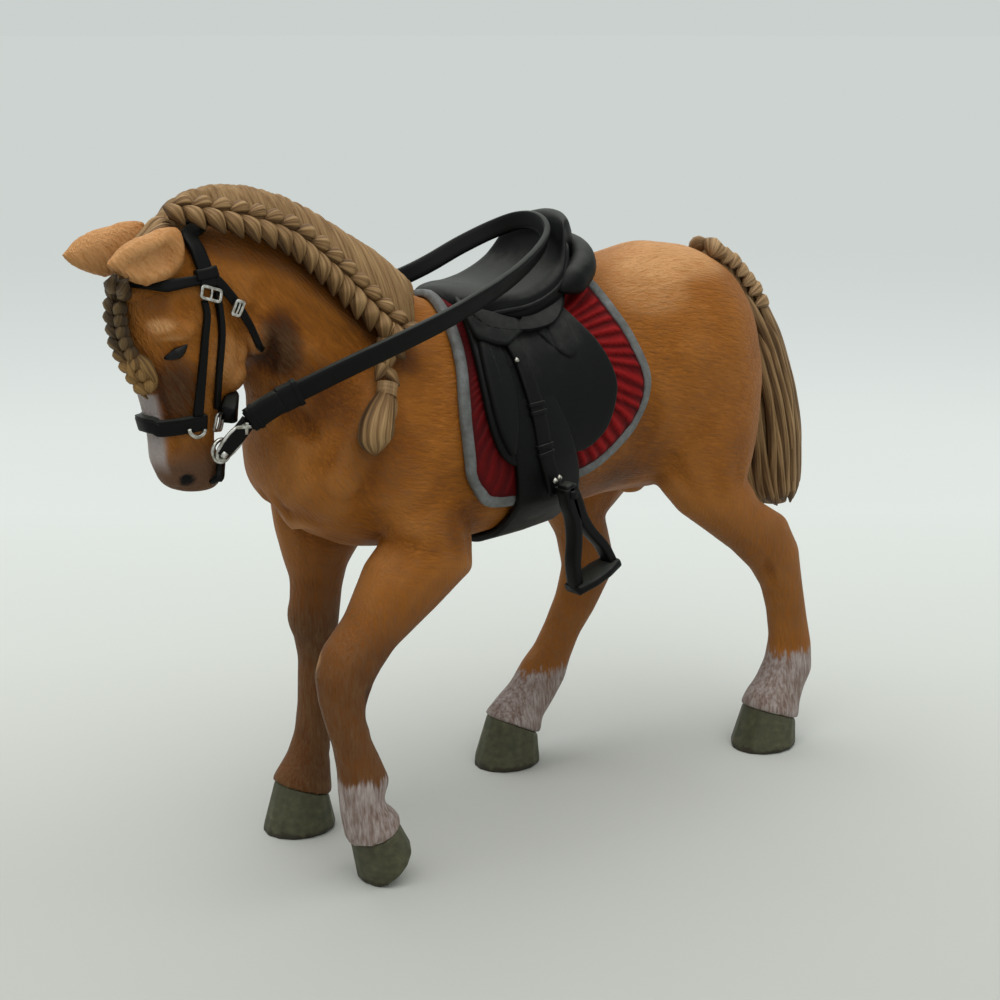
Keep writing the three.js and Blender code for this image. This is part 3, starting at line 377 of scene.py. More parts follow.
ONE_SIDED = [  # place, radii, mm outward
    ((31.2, 12.6, 16.4), (1.9, 3.2, 2.0), 0.85), ((31.8, 12.6, 12.6), (1.7, 3.6, 1.5), -0.85),
    ((29.9, 12.4, 9.4), (1.8, 3.6, 1.8), 0.5), ((37.6, 12.6, 33.5), (3.0, 4.0, 3.4), 0.45),
    ((37.8, 12.4, 26.0), (2.6, 3.6, 2.6), -0.25), ((33.0, -10.6, 33.0), (3.2, 3.6, 3.4), 0.4),
    ((29.0, -10.6, 15.0), (1.9, 3.0, 2.0), 0.6), ((29.6, -10.6, 11.2), (1.6, 3.4, 1.5), -0.6),
    ((-51.6, 11.0, 15.4), (1.9, 3.0, 2.1), 0.6), ((-51.8, 11.0, 11.4), (1.7, 3.4, 1.6), -0.7),
    ((-13.4, -10.6, 14.4), (1.9, 3.0, 2.0), 0.6), ((-13.4, -10.6, 10.8), (1.6, 3.4, 1.5), -0.6),
    ((-24.9, 0, 46.6), (3.4, 2.6, 2.2), 1.2), ((-38.4, 9.6, 34.0), (1.1, 1.6, 1.1), 0.8)]
STROKES = [  # path, width, mm outward; the same on the other side
    ([(63.4, 4.3, 80.4), (61.6, 5.5, 81.3), (58.8, 6.0, 81.3)], 1.5, 0.55),
    ([(62.4, 5.2, 79.5), (60.9, 5.6, 80.1), (58.4, 6.1, 80.6)], 0.75, 0.4),
    ([(62.2, 5.3, 77.3), (60.6, 5.9, 76.9), (58.8, 6.1, 77.6)], 0.9, 0.2),
    ([(60.8, 5.6, 75.4), (59.6, 5.7, 72.4), (58.4, 5.4, 69.4)], 1.5, 0.4),
    ([(62.6, 3.0, 75.0), (61.2, 3.4, 70.6), (59.9, 3.3, 65.4)], 1.3, -0.3),
    ([(49.2, 6.5, 82.8), (47.4, 6.5, 79.6), (46.2, 6.2, 77.0), (46.2, 5.2, 74.2), (46.8, 4.0, 72.2)], 1.4, -0.8),
    ([(58.6, 1.8, 59.6), (56.6, 3.0, 59.4), (54.4, 3.9, 60.3), (52.8, 4.5, 61.6)], 0.6, -0.4),
    ([(46.0, 4.6, 70.6), (41.0, 6.4, 65.4), (36.5, 8.0, 60.4)], 2.2, -0.6),
    ([(46.0, 6.6, 84.5), (39.0, 8.0, 80.0), (31.5, 9.0, 74.5)], 4.0, -0.5),
    ([(29.5, 9.5, 77.0), (33.5, 11.5, 68.0), (38.0, 10.5, 59.5)], 3.2, 0.6),
    ([(33.0, 11.5, 52.5), (27.5, 13.0, 54.5), (20.0, 13.5, 57.0)], 3.0, -0.3),
    ([(44.4, 12.0, 33.6), (43.6, 12.2, 28.0), (42.0, 12.4, 20.6)], 0.9, 0.25),
    ([(38.0, 14.6, 30.0), (35.6, 14.8, 22.0)], 1.0, -0.3),
    ([(-41.0, 12.6, 40.0), (-45.0, 13.0, 30.0), (-47.0, 13.2, 20.0)], 1.2, -0.3),
    ([(-52.0, 10.5, 38.0), (-51.0, 11.0, 26.0)], 1.0, 0.3),
    ([(-19.5, 11.0, 58.5), (-24.0, 11.5, 52.0), (-27.5, 10.5, 47.5)], 2.4, -0.55),
    ([(-45.0, 8.5, 66.0), (-43.5, 9.5, 58.0), (-42.5, 9.0, 50.0)], 2.4, -0.4),
    ([(42.8, 1.6, 57.5), (42.0, 1.6, 51.0), (39.0, 1.8, 46.5)], 1.5, -0.5)]


def sculpt():
    points, normals = figure_points()
    shift = np.zeros(len(points))
    for side in (1, -1):
        here = points * (1, side, 1)
        for centre, radii, depth in DABS:
            shift += depth * dab(here, centre, radii)
        for path, width, depth in STROKES:
            shift += depth * fade(line_distance(here, path) / width)
    for centre, radii, depth in ONE_SIDED:
        shift += depth * dab(points, centre, radii)
    points += normals * shift[:, None]
    points[:, 0] -= FIGURE_X
    set_points(body, points)
    relax(body, 2, push=0)


sculpt()
smooth_shaded(body)


# Places on the figure -----------------------------------------------------------

SKIN = BVHTree.FromObject(body, bpy.context.evaluated_depsgraph_get())
EYE = bpy.context.scene.camera.location.copy()
EYE_BACK = away(*VIEW)
EYE_RIGHT = Vector((0, 0, 1)).cross(EYE_BACK).normalized()
EYE_UP = EYE_BACK.cross(EYE_RIGHT)
FOCAL = LENS / SENSOR * PICTURE  # the lens in pixels


def to_part(point):
    return Vector((point[0] - FIGURE_X, point[1], point[2])) * MM


def raised(place, normal, lift):
    """A place of the skin raised by lift mm, in the figure's frame, and the normal there."""
    place = place + normal * lift * MM
    return np.array([place.x / MM + FIGURE_X, place.y / MM, place.z / MM]), np.array(normal)


def seen(u, v, lift=0.0, side=1):
    """The point that the photograph shows at a pixel on a layer that lies at lift above
    the skin, and the skin's normal there. side -1 gives it on the horse's right."""
    right, up = (u - PICTURE / 2) / FOCAL, (PICTURE / 2 - v) / FOCAL
    look = (-EYE_BACK + EYE_RIGHT * right + EYE_UP * up).normalized()
    best = (9.0, 0.28)
    for step in np.arange(0.20, 0.36, 0.001):
        gap = SKIN.find_nearest(EYE + look * step)[3]
        if gap < max(lift, 0.3) * MM + 0.0005:
            best = (gap, step)
            break
        best = min(best, (gap, step))
    step = best[1]
    if best[0] < max(lift, 0.3) * MM + 0.0005:
        for _ in range(12):
            step += (SKIN.find_nearest(EYE + look * step)[3] - max(lift, 0.02) * MM) * 0.7
    place, normal, _, _ = SKIN.find_nearest(EYE + look * step)
    if side < 0:
        place, normal, _, _ = SKIN.find_nearest(Vector((place.x, -place.y, place.z)))
    return raised(place, normal, lift)


def beside(x, z, lift=0.0, side=1):
    """The point of a flank at a place of the side view, raised by lift; side -1 is the
    right flank."""
    place, normal, _, _ = SKIN.ray_cast(to_part((x, side * 60, z)), Vector((0, -side, 0)))
    if place is None:
        place, normal, _, _ = SKIN.find_nearest(to_part((x, 0, z)))
    return raised(place, normal, lift)


def around(x, z, turn, lift=0.0):
    """The skin seen from inside at (x, 0, z), turned by degrees from straight up to
    the left, raised by lift."""
    a = math.radians(turn)
    place, normal, _, _ = SKIN.ray_cast(to_part((x, 0, z)), Vector((0, math.sin(a), math.cos(a))))
    return raised(place, normal, lift)


def nearest(point, lift=0.0):
    place, normal, _, _ = SKIN.find_nearest(to_part(point))
    return raised(place, normal, lift)


def curve_through(points, count, closed=False):
    """count points on a smooth curve through the given ones, evenly spaced."""
    points = np.asarray(points, dtype=float)
    total = len(points)
    fine = []
    spans = total if closed else total - 1
    for i in range(spans):
        if closed:
            a, b, c, d = (points[(i + k) % total] for k in (-1, 0, 1, 2))
        else:
            b, c = points[i], points[i + 1]
            a = points[i - 1] if i else 2 * b - c
            d = points[i + 2] if i + 2 < total else 2 * c - b
        for t in np.linspace(0, 1, 24, endpoint=False):
            fine.append((2 * b + (c - a) * t + (2 * a - 5 * b + 4 * c - d) * t * t
                         + (3 * b - a - 3 * c + d) * t ** 3) / 2)
    fine.append(points[0] if closed else points[-1])
    fine = np.array(fine)
    run = np.concatenate([[0], np.cumsum(np.linalg.norm(np.diff(fine, axis=0), axis=1))])
    at = np.linspace(0, run[-1], count, endpoint=not closed)
    return np.stack([np.interp(at, run, fine[:, k]) for k in range(fine.shape[1])], axis=1)


def grain_of(rings):
    """Where each point lies across, around and along a surface, for its hair lines."""
    middle = rings.mean(axis=1)
    run = np.concatenate([[0], np.cumsum(np.linalg.norm(np.diff(middle, axis=0), axis=1))])
    turn = turns(rings.shape[1])
    radius = np.linalg.norm(rings - middle[:, None], axis=2).max()
    grain = np.zeros_like(rings)
    grain[:, :, 0] = np.cos(turn) * radius
    grain[:, :, 1] = np.sin(turn) * radius
    grain[:, :, 2] = run[:, None]
    return grain + middle.mean(axis=0) * 7


def drawn(name, rings, loop=True, ends=True, grain=None):
    """A surface through rings of points: a grid whose points are moved to their places,
    rolled up where loop is true and closed at both ends where ends is true."""
    rings = np.asarray(rings, dtype=float)
    proud = rings[:, :, 3:] if rings.shape[2] == 4 else np.full((*rings.shape[:2], 1), 0.7)
    rings = rings[:, :, :3]
    if grain is None:
        grain = grain_of(rings)
    rings = np.concatenate([rings, grain, proud], axis=2)
    if loop:
        rings = np.concatenate([rings, rings[:, :1]], axis=1)
    if ends:
        first = np.repeat(rings[:1].mean(axis=1, keepdims=True), rings.shape[1], axis=1)
        last = np.repeat(rings[-1:].mean(axis=1, keepdims=True), rings.shape[1], axis=1)
        rings = np.concatenate([first, rings, last])
    rows, columns = rings.shape[:2]
    bpy.ops.object.select_all(action="DESELECT")
    bpy.ops.mesh.primitive_grid_add(x_subdivisions=columns - 1, y_subdivisions=rows - 1, size=2)
    piece = bpy.context.object
    piece.name = piece.data.name = name
    flat = points_of(piece) * MM
    column = np.rint((flat[:, 0] + 1) / 2 * (columns - 1)).astype(int)
    row = np.rint((flat[:, 1] + 1) / 2 * (rows - 1)).astype(int)
    points = rings[row, column].copy()
    points[:, 0] -= FIGURE_X
    set_points(piece, points[:, :3])
    lines = piece.data.attributes.new("grain", "FLOAT_VECTOR", "POINT")
    lines.data.foreach_set("vector", points[:, 3:6].astype(np.float32).ravel())
    put(piece, "proud", points[:, 6])
    edit(piece, (bpy.ops.mesh.remove_doubles, dict(threshold=1e-6)),
         (bpy.ops.mesh.normals_make_consistent, dict(inside=False)))
    smooth_shaded(piece)
    return piece


def joined(name, pieces):
    only(pieces[0])
    for piece in pieces[1:]:
        piece.select_set(True)
    if len(pieces) > 1:
        bpy.ops.object.join()
    pieces[0].name = pieces[0].data.name = name
    return pieces[0]


def lock(path, outs, width, depth, steps=12, sides=14, flutes=4, groove=0.1, start=0.35, end=0.6):
    """The rings of a lock of hair along a path: wide across it, depth proud of what it
    lies on, fluted along its length and drawn in at both ends."""
    middle = curve_through(path, steps + 1)
    out = curve_through(outs, steps + 1) if len(outs) == len(path) else np.repeat([outs[0]], steps + 1, axis=0)
    along = unit(np.gradient(middle, axis=0))
    across = unit(np.cross(along, out))
    out = np.cross(across, along)
    turn = turns(sides)
    rings = []
    for i in range(steps + 1):
        t = i / steps
        full = (t / start) ** 0.6 if t < start else 1.0
        full *= ((1 - t) / end) ** 0.7 if t > 1 - end else 1.0
        full = max(full, 0.12)
        swell = 1 + groove * np.cos(turn * flutes)
        ring = (middle[i] + across[i] * (np.cos(turn) * swell * width / 2 * full)[:, None]
                + out[i] * (np.sin(turn) * swell * depth / 2 * full)[:, None])
        proud = full ** 0.7 * (0.75 * np.sin(turn) + 0.25 * np.cos(turn * flutes))
        rings.append(np.concatenate([ring, proud[:, None]], axis=1))
    return rings


def apart(spots):
    """The places of spots, and the outward directions there."""
    return [place for place, _ in spots], [out for _, out in spots]


def tress(name, spots, width, depth, **shape):
    return drawn(name, lock(*apart(spots), width, depth, **shape))


# Mane ---------------------------------------------------------------------------

CREST = [(60.6, 93.6), (57.9, 96.4), (54.2, 98.0), (50.4, 98.6), (45.9, 98.2), (40.4, 96.6), (35.7, 94.3),
         (30.8, 91.3), (25.8, 88.4), (22.4, 85.7), (19.8, 83.8), (17.1, 82.0)]
PLAIT = [  # X, Y, Z of the plait's middle, its size, and how far it faces up
    (57.8, 2.0, 96.2, 0.80, 0.6), (53.7, 3.8, 95.7, 0.90, 0.5), (47.9, 4.7, 94.3, 0.95, 0.42),
    (42.2, 5.0, 92.2, 1.0, 0.36), (37.4, 5.4, 88.6, 1.0, 0.3), (33.4, 6.1, 84.8, 1.0, 0.26),
    (29.9, 7.5, 80.9, 0.95, 0.24), (27.4, 9.2, 78.3, 0.9, 0.24)]
HAIR_FOOT = [(19.4, 83.6), (20.6, 81.6), (22.4, 78.9), (24.4, 77.7), (27.4, 77.6), (29.9, 80.2), (33.4, 84.0),
             (37.4, 88.0), (42.2, 91.6), (47.9, 93.7), (53.7, 95.0), (58.4, 95.6)]


def mane_cap():
    """Hair combed over the crest, from the right side to the plait on the left."""
    crest, foot_line = np.array(CREST)[::-1], np.array(HAIR_FOOT)
    rings, grains = [], []
    for x in np.arange(19.2, 58.3, 0.16):
        top = np.interp(x, crest[:, 0], crest[:, 1])
        centre = top - 13
        rise = max(top - around(x, centre, 0)[0][2], 0.9)
        foot = np.interp(x, foot_line[:, 0], foot_line[:, 1])
        left = next((turn for turn in range(4, 90, 2) if around(x, centre, turn)[0][2] < foot), 90)
        right = 58 * min(1.0, 0.2 + (x - 19) / 7)
        poll = min(1.0, (59.0 - x) / 3) ** 0.5
        ring, grain = [], []
        for share in np.linspace(-1, 1, 56):
            turn = share * (left + 3 if share > 0 else right)
            point = around(x, centre, turn)[0]
            out = np.array((0, math.sin(math.radians(turn)), math.cos(math.radians(turn))))
            edge = 1 - (share ** 6 if share > 0 else share ** 4)
            lean = x + 0.9 * share + 0.1 * math.sin(share * 5 + x)
            comb = 0.34 * abs(math.sin(lean * 2.2 + 0.7 * math.sin(lean * 0.6))) ** 0.7
            comb += 0.1 * math.sin(lean * 7.3 + 0.5 * math.sin(share * 3 + x * 0.7))
            lift = -0.3 + (rise * (0.55 + 0.45 * math.cos(share * 1.6) ** 2) * poll + 0.4 + comb) * edge
            ring.append(point + out * lift)
            grain.append((lean, 0, share * 14))
        rings.append(ring)
        grains.append(grain)
    return drawn("mane_combed", rings, loop=False, ends=False, grain=np.array(grains, dtype=float))


def plait_leaves():
    """Two rows of plump leaves, the lower steep and the upper flat, laid like roof tiles."""
    line = curve_through(np.array(PLAIT), 16)
    leaves = []
    for i in range(16):
        x, y, z, size, up = line[i]
        along = unit(line[min(i + 1, 15)][:3] - line[max(i - 1, 0)][:3])
        out = np.array((0, math.cos(up * math.pi / 2), math.sin(up * math.pi / 2)))
        out = unit(out - along * out.dot(along))
        down = np.cross(along, out)
        if down[2] > 0:
            down = -down
        middle = np.array((x, y, z))
        for row, tilt, long, wide, deep in ((1, 0.72, 4.7, 2.75, 2.7), (-1, -0.42, 4.1, 2.5, 2.7)):
            run = along * math.cos(tilt) + down * math.sin(tilt)
            half = along * (1.15 if row < 0 else 0)
            centre = middle + down * row * 1.3 * size + half + out * 0.15
            path = [centre - run * long * size / 2 + out * 0.25, centre + out * 0.35,
                    centre + run * long * size / 2 - out * 0.75]
            leaves.append(drawn("leaf", lock(path, [out], wide * size, deep * size, steps=14, sides=22,
                                             flutes=7, groove=0.045, start=0.45, end=0.5)))
    return leaves


def poll_strands():
    """Hair that runs from the plait's start between the ears to the forelock."""
    line = [(56.8, 96.6, 1.0), (59.2, 95.4, 1.05), (61.6, 93.9, 1.0), (63.8, 91.7, 0.95), (65.6, 89.8, 0.95),
            (66.4, 87.6, 1.0)]
    made = []
    for y, lift, width in ((2.0, 0.7, 1.5), (0.9, 0.9, 1.7), (-0.3, 0.9, 1.7), (-1.2, 0.6, 1.5), (1.4, 0.55, 1.4)):
        spots = [nearest((x, y * share, z), lift * (0.7 if j in (0, 5) else 1.0))
                 for j, (x, z, share) in enumerate(line)]
        made.append(tress("strand", spots, width, 1.3, steps=26, groove=0.09, start=0.15, end=0.2))
    return made


mane_pieces = [mane_cap(), *plait_leaves(), *poll_strands()]


def tassel():
    """The plait's knot, the bound end below the rein and the tassel that hangs from it."""
    knots = [(391, 335, 0.2, 4.6, 4.2, 1.9), (384, 347, 1.0, 3.6, 3.0, 1.7), (396, 350, -0.6, 3.6, 2.8, 1.7),
             (387, 362, 0.5, 4.2, 2.4, 1.6), (381, 372, 0.9, 3.6, 2.2, 1.5), (391, 377, -0.4, 3.4, 2.0, 1.5)]
    made = []
    for u, v, turn, long, wide, lift in knots:
        middle, out = seen(u, v, lift)
        run = np.array((math.sin(turn) * 0.77, 0.2 * math.sin(turn), -math.cos(turn)))
        run = unit(run - out * run.dot(out))
        path = [middle - run * long / 2, middle + out * 0.2, middle + run * long / 2]
        made.append(drawn("knot", lock(path, [out], wide, wide * 0.75, steps=10, flutes=5, groove=0.07)))
    spots = [seen(u, v, lift) for u, v, lift in ((388, 384, 1.2), (385, 398, 1.9), (379, 418, 2.3), (375, 436, 2.2),
                                                 (376, 455, 1.2))]
    made.append(tress("tassel", spots, 4.9, 3.6, steps=26, sides=48, flutes=11, groove=0.05, start=0.62, end=0.22))
    rng = random.Random(7)
    for k in range(9):
        shift = (k - 4) * 0.42
        strand = [seen(388 + shift * 2, 386, 1.6), seen(384 + shift * 6, 408, 2.6 - abs(shift) * 0.5),
                  seen(377 + shift * 7, 430, 3.0 - abs(shift) * 0.7),
                  seen(374 + shift * 7, 448 + rng.uniform(-4, 7), 2.2 - abs(shift) * 0.6)]
        made.append(tress("strand", strand, 1.1, 1.0, steps=14, sides=8, flutes=2, start=0.3, end=0.5))
    return made


def tie():
    rings = []
    middle, out = seen(387, 390, 1.6)
    run = np.array((0.3, 0.0, -1.0))
    run = unit(run - out * run.dot(out))
    side = np.cross(run, out)
    for along in np.linspace(-0.9, 0.9, 13):
        ridge = 0.12 * abs(math.sin(along * 5.2))
        wide, tall = side * (1.35 + ridge), out * (1.15 + ridge)
        rings.append([middle + run * along + wide * math.cos(a) + tall * math.sin(a) for a in turns(28)])
    return drawn("mane_tie_wound", rings)


# Forelock -----------------------------------------------------------------------

FORELOCK_PIXELS = [(124, 272), (119, 285), (117, 298), (116, 313), (118, 330), (122, 345), (129, 359), (137, 373),
                   (145, 386), (150, 397)]


def forelock():
    line = curve_through(FORELOCK_PIXELS, 12)
    made = []
    for i in range(1, 11):
        here, run = line[i], unit(line[i + 1] - line[i - 1])
        side = np.array((run[1], -run[0]))
        for way in (1, -1):
            path = [here - run * 7 + side * way * 7, here + side * way * 5, here + run * 9]
            spots = [seen(*pixel, lift) for pixel, lift in zip(path, (1.0, 1.5, 0.9))]
            made.append(tress("leaf", spots, 2.2, 2.0, steps=9, sides=12, groove=0.06))
    for pixels, width in (([(134, 352), (146, 366), (154, 381), (152, 392)], 2.0),
                          ([(129, 352), (133, 372), (141, 392), (148, 399)], 1.9)):
        spots = [seen(u, v, 1.4) for u, v in pixels]
        made.append(tress("loop", spots, width, 1.7, steps=14, groove=0.06))
    return made


# Tail ---------------------------------------------------------------------------

TAIL_ROWS = [  # rear edge (X, Z), front edge (X, Z), middle Y, half width
    (-40, 85, -39, 80, 0, 2.2), (-45.5, 82.6, -43, 77, 0, 3.0), (-51, 77.6, -45.2, 71.5, 0, 3.6),
    (-56.2, 70.2, -46.5, 64.5, 0, 4.8), (-60.2, 61, -47.4, 57.5, 0, 5.7), (-62.1, 52, -48.2, 50, 0.3, 6.0),
    (-62.1, 44.5, -50, 43, 0.6, 5.5), (-61, 38.4, -54.2, 38.2, 0.9, 4.2)]
DOCK_LEAVES = [  # share of the tail's length, size
    (0.02, 1.5), (0.085, 1.1), (0.135, 0.95), (0.182, 0.95), (0.228, 0.95), (0.274, 0.95), (0.318, 0.9)]


def tail_point(t, turn, grow=0.0):
    """A point of the tail's surface at share t of its length, and the normal there."""
    rows = np.array(TAIL_ROWS)
    at = t * (len(rows) - 1)
    row = np.array([np.interp(at, range(len(rows)), rows[:, k]) for k in range(6)])
    rear = np.array((row[0], row[4], row[1]))
    front = np.array((row[2], row[4], row[3]))
    middle = (rear + front) / 2
    out = unit(rear - front)
    tall = np.linalg.norm(rear - front) / 2 + grow
    wide = row[5] + grow
    normal = out * math.cos(turn) * wide + np.array((0, 1, 0)) * math.sin(turn) * tall
    return middle + out * math.cos(turn) * tall + np.array((0, math.sin(turn) * wide, 0)), unit(normal)


def tail():
    made = [drawn("tail_core", [[tail_point(t, a, -0.9 - 0.5 * (t > 0.95))[0] for a in turns(48)]
                                for t in np.linspace(0.02, 0.975, 40)])]
    rng = random.Random(11)
    for k in range(30):
        turn = 2 * math.pi * (k + rng.uniform(-0.2, 0.2)) / 30
        top = rng.uniform(0.16, 0.3) + 0.16 * (1 - math.cos(turn)) / 2
        foot = rng.uniform(0.95, 0.975)
        wave, phase = rng.uniform(0.05, 0.12), rng.uniform(0, 6.28)
        spots = [tail_point(t, turn + wave * math.sin(7 * t + phase), -0.35) for t in np.linspace(top, foot, 9)]
        made.append(tress("lock", spots, rng.uniform(1.5, 2.3), 1.5, steps=30, sides=12, flutes=3, start=0.12,
                          end=0.06))
    for t, size in DOCK_LEAVES:
        for way in (1, -1):
            spots = [tail_point(t + down, way * turn, lift) for down, turn, lift in (
                (-0.015, 1.45, -0.1), (0.01, 0.8, 0.15), (0.065, 0.05, 0.1))]
            made.append(tress("dock_leaf", spots, 3.0 * size, 2.1 * size, sides=18, flutes=6, groove=0.05))
    return made


mane_pieces += tassel()
mane_tie = tie()
forelock_pieces = forelock()
tail_pieces = tail()


# Leather and cloth cut to an outline and laid on the figure -------------------------

GIRTH_Z = 64.0  # height of the trunk's middle
ROUND = 16.5  # mm of the flank's surface for each radian about that middle


def unrolled(x, z, side=1):
    """A place of the side view as (X, mm down the flank from the spine)."""
    low, high = 0.0, 175.0
    for _ in range(16):
        middle = (low + high) / 2
        if around(x, GIRTH_Z, middle)[0][2] > z:
            low = middle
        else:
            high = middle
    return np.array((x, side * math.radians(low) * ROUND))


def inset(outline, distance):
    ahead = unit(np.roll(outline, -1, axis=0) - np.roll(outline, 1, axis=0))
    area = np.sum(outline[:, 0] * np.roll(outline[:, 1], -1) - outline[:, 1] * np.roll(outline[:, 0], -1))
    inward = np.stack([-ahead[:, 1], ahead[:, 0]], axis=1) * (1 if area > 0 else -1)
    return outline + inward * distance


def laid(name, outline, low, thick, count=120, edge=0.35, rings=14, relief=None):
    """A sheet cut to an unrolled outline and laid on the figure: its underside at low,
    its top at low + thick with a rounded edge, and relief(x, s) added on top."""
    line = curve_through(outline, count, closed=True)
    centre = line.mean(axis=0)
    soft = min(edge, thick * 0.6)
    plan = [(inset(line, soft * a), low + thick * b) for a, b in
            ((0.7, 0.0), (0.15, 0.12), (0.0, 0.4), (0.1, 0.72), (0.4, 0.93), (1.0, 1.0))]
    core = plan[-1][0]
    top = [(centre + (core - centre) * (1 - k / rings) ** 0.9, low + thick) for k in range(1, rings)]
    under = [(centre + (plan[0][0] - centre) * (1 - k / 8), low) for k in range(7, 0, -1)]
    layers = [*under, *plan, *top]
    sheet, grains = [], []
    for index, (flat, lift) in enumerate(layers):
        ring = []
        for x, s in flat:
            extra = relief(x, s) if relief and index >= len(under) + 4 else 0.0
            ring.append((*around(x, GIRTH_Z, math.degrees(s / ROUND), lift + extra)[0], extra))
        sheet.append(ring)
        grains.append(np.concatenate([flat, np.zeros((len(flat), 1))], axis=1))
    return drawn(name, sheet, grain=np.array(grains))


PAD_SIDE = [(16.8, 81.3), (17.9, 77.4), (18.9, 72.9), (20.1, 68.2), (20.7, 63.8), (20.3, 58.5), (18.2, 54.6),
            (15.4, 53.0), (8.5, 52.8), (3.0, 54.2), (-3.5, 55.8), (-8.8, 59.0), (-13.0, 63.0), (-14.4, 67.5),
            (-12.8, 73.5), (-11.0, 79.0)]


def pad_outline():
    left = [unrolled(x, z) for x, z in PAD_SIDE]
    right = [np.array((x, -s)) for x, s in left[::-1]]
    return np.array([(15.0, 0.0), *left, (-10.4, 0.0), *right])


pad_fine = curve_through(pad_outline(), 620, closed=True)
BINDING_WIDE = 1.4


def quilting(x, s):
    """Sewn folds that fan out from under the flap, flat along the binding."""
    edge = np.sqrt(((pad_fine - (x, s)) ** 2).sum(axis=1).min())
    side = abs(s)
    turn = math.atan2(side - 14.0, x - 9.0)
    reach = math.hypot(x - 9.0, side - 14.0)
    fold = (turn * 10.5 + 0.12 * math.sin(side * 0.9)) % 1.0
    half = (turn * 21.0 + 0.5) % 1.0
    rise = 0.75 * (1 - fold) ** 1.2 * min(1.0, fold / 0.12) + 0.16 * (1 - half) * min(1.0, half / 0.15)
    rise *= np.clip(edge - BINDING_WIDE, 0, 1) * min(1.0, reach / 9)
    return rise * min(1.0, max(0.25, (13 - x) / 4))


pad = laid("saddle_pad_quilted", pad_outline(), 0.25, 0.8, count=620, rings=56, relief=quilting)


def binding():
    inner = inset(pad_fine, BINDING_WIDE)
    sheet, grains = [], []
    profile = [  # share of the width across the binding, mm above the skin
        (0.0, 0.2), (-0.07, 0.45), (-0.08, 0.8), (0.0, 1.15), (0.12, 1.32), (0.5, 1.42), (0.86, 1.34), (0.98, 1.22),
        (1.03, 1.05), (1.0, 0.8), (0.5, 0.5)]
    for share, lift in profile:
        flat = pad_fine + (inner - pad_fine) * share
        sheet.append([around(x, GIRTH_Z, math.degrees(s / ROUND), lift)[0] for x, s in flat])
        grains.append(np.concatenate([flat, np.full((len(flat), 1), lift)], axis=1))
    sheet.append(sheet[0])
    grains.append(grains[0])
    return drawn("pad_binding", sheet, ends=False, grain=np.array(grains))


pad_binding = binding()

FLAP_SIDE = [(14.2, 79.8), (15.8, 76.5), (17.0, 69.0), (16.8, 63.8), (15.0, 59.8), (11.2, 58.2), (7.0, 59.1),
             (0.8, 59.3), (-2.4, 60.6), (-4.6, 62.6), (-6.6, 66.6), (-6.6, 69.6), (-5.4, 73.0), (-3.0, 76.6),
             (0.2, 80.0), (5.0, 81.5), (10.0, 81.5)]
KNEE_SIDE = [(15.1, 75.8), (13.9, 75.4), (12.4, 73.6), (11.8, 70.7), (12.1, 65.8), (13.6, 60.6), (14.9, 61.0),
             (16.3, 65.0), (16.3, 71.0)]
TAB_PIXELS = [(531, 323), (545, 338), (557, 349), (567, 356), (574, 356), (579, 349), (572, 331), (564, 312),
              (558, 298), (545, 306)]
SKIRT_PIXELS = [(458, 305), (465, 322), (474, 338), (486, 344), (498, 347), (507, 346), (517, 337), (532, 323),
                (545, 309), (554, 297), (560, 288)]


def mirrored(outline):
    return np.array([(x, -s) for x, s in outline[::-1]])


def outline_of(places, side):
    line = np.array([unrolled(x, z) for x, z in places])
    return mirrored(line) if side < 0 else line


def outline_seen(pixels, side, *more):
    places = [place - out * 3.0 for place, out in (seen(u, v, 3.0) for u, v in pixels)]
    line = np.array([unrolled(x, z) for x, _, z in places] + [np.array(place) for place in more])
    return mirrored(line) if side < 0 else line


def flap(side):
    crown = lambda x, s: 0.3 * math.exp(-((x - 3) / 8) ** 2 - ((abs(s) - 18) / 9) ** 2)
    knee = lambda x, s: 0.35 * math.exp(-((x - 15) / 2.2) ** 2)
    tab = lambda x, s: 0.3 - 0.3 * (math.exp(-((x - 4.4) / 0.4) ** 2) + math.exp(-((x - 2.7) / 0.4) ** 2))
    made = [laid("flap", outline_of(FLAP_SIDE, side), 1.35, 1.05, count=170, edge=0.5, rings=16, relief=crown),
            laid("knee_block", outline_of(KNEE_SIDE, side), 2.2, 0.75, count=90, edge=0.7, rings=9, relief=knee),
            laid("tab", outline_seen(TAB_PIXELS, side), 2.1, 0.6, count=110, edge=0.45, relief=tab)]
    return joined("flap_leather", made)


flap_left, flap_right = flap(1), flap(-1)


def seat_rows():
    """The seat from pommel to cantle: X, middle Z, rim Z, half width, roundness of the rim."""
    return np.array([
        (15.4, 81.7, 80.0, 4.0, 0.6), (14.2, 82.6, 80.6, 6.2, 0.9), (12.0, 82.9, 81.0, 8.4, 1.1),
        (9.0, 82.6, 81.5, 9.9, 1.1),
        (5.8, 81.9, 82.0, 10.5, 1.2), (2.4, 82.3, 83.0, 10.4, 1.3), (-0.8, 83.8, 84.6, 9.9, 1.35),
        (-3.2, 86.2, 86.8, 8.9, 1.4),
        (-5.0, 89.4, 89.2, 7.7, 1.5), (-6.3, 91.8, 90.6, 6.4, 1.6), (-7.8, 92.2, 90.4, 5.6, 1.5),
        (-9.2, 90.6, 88.8, 4.6, 1.3)])


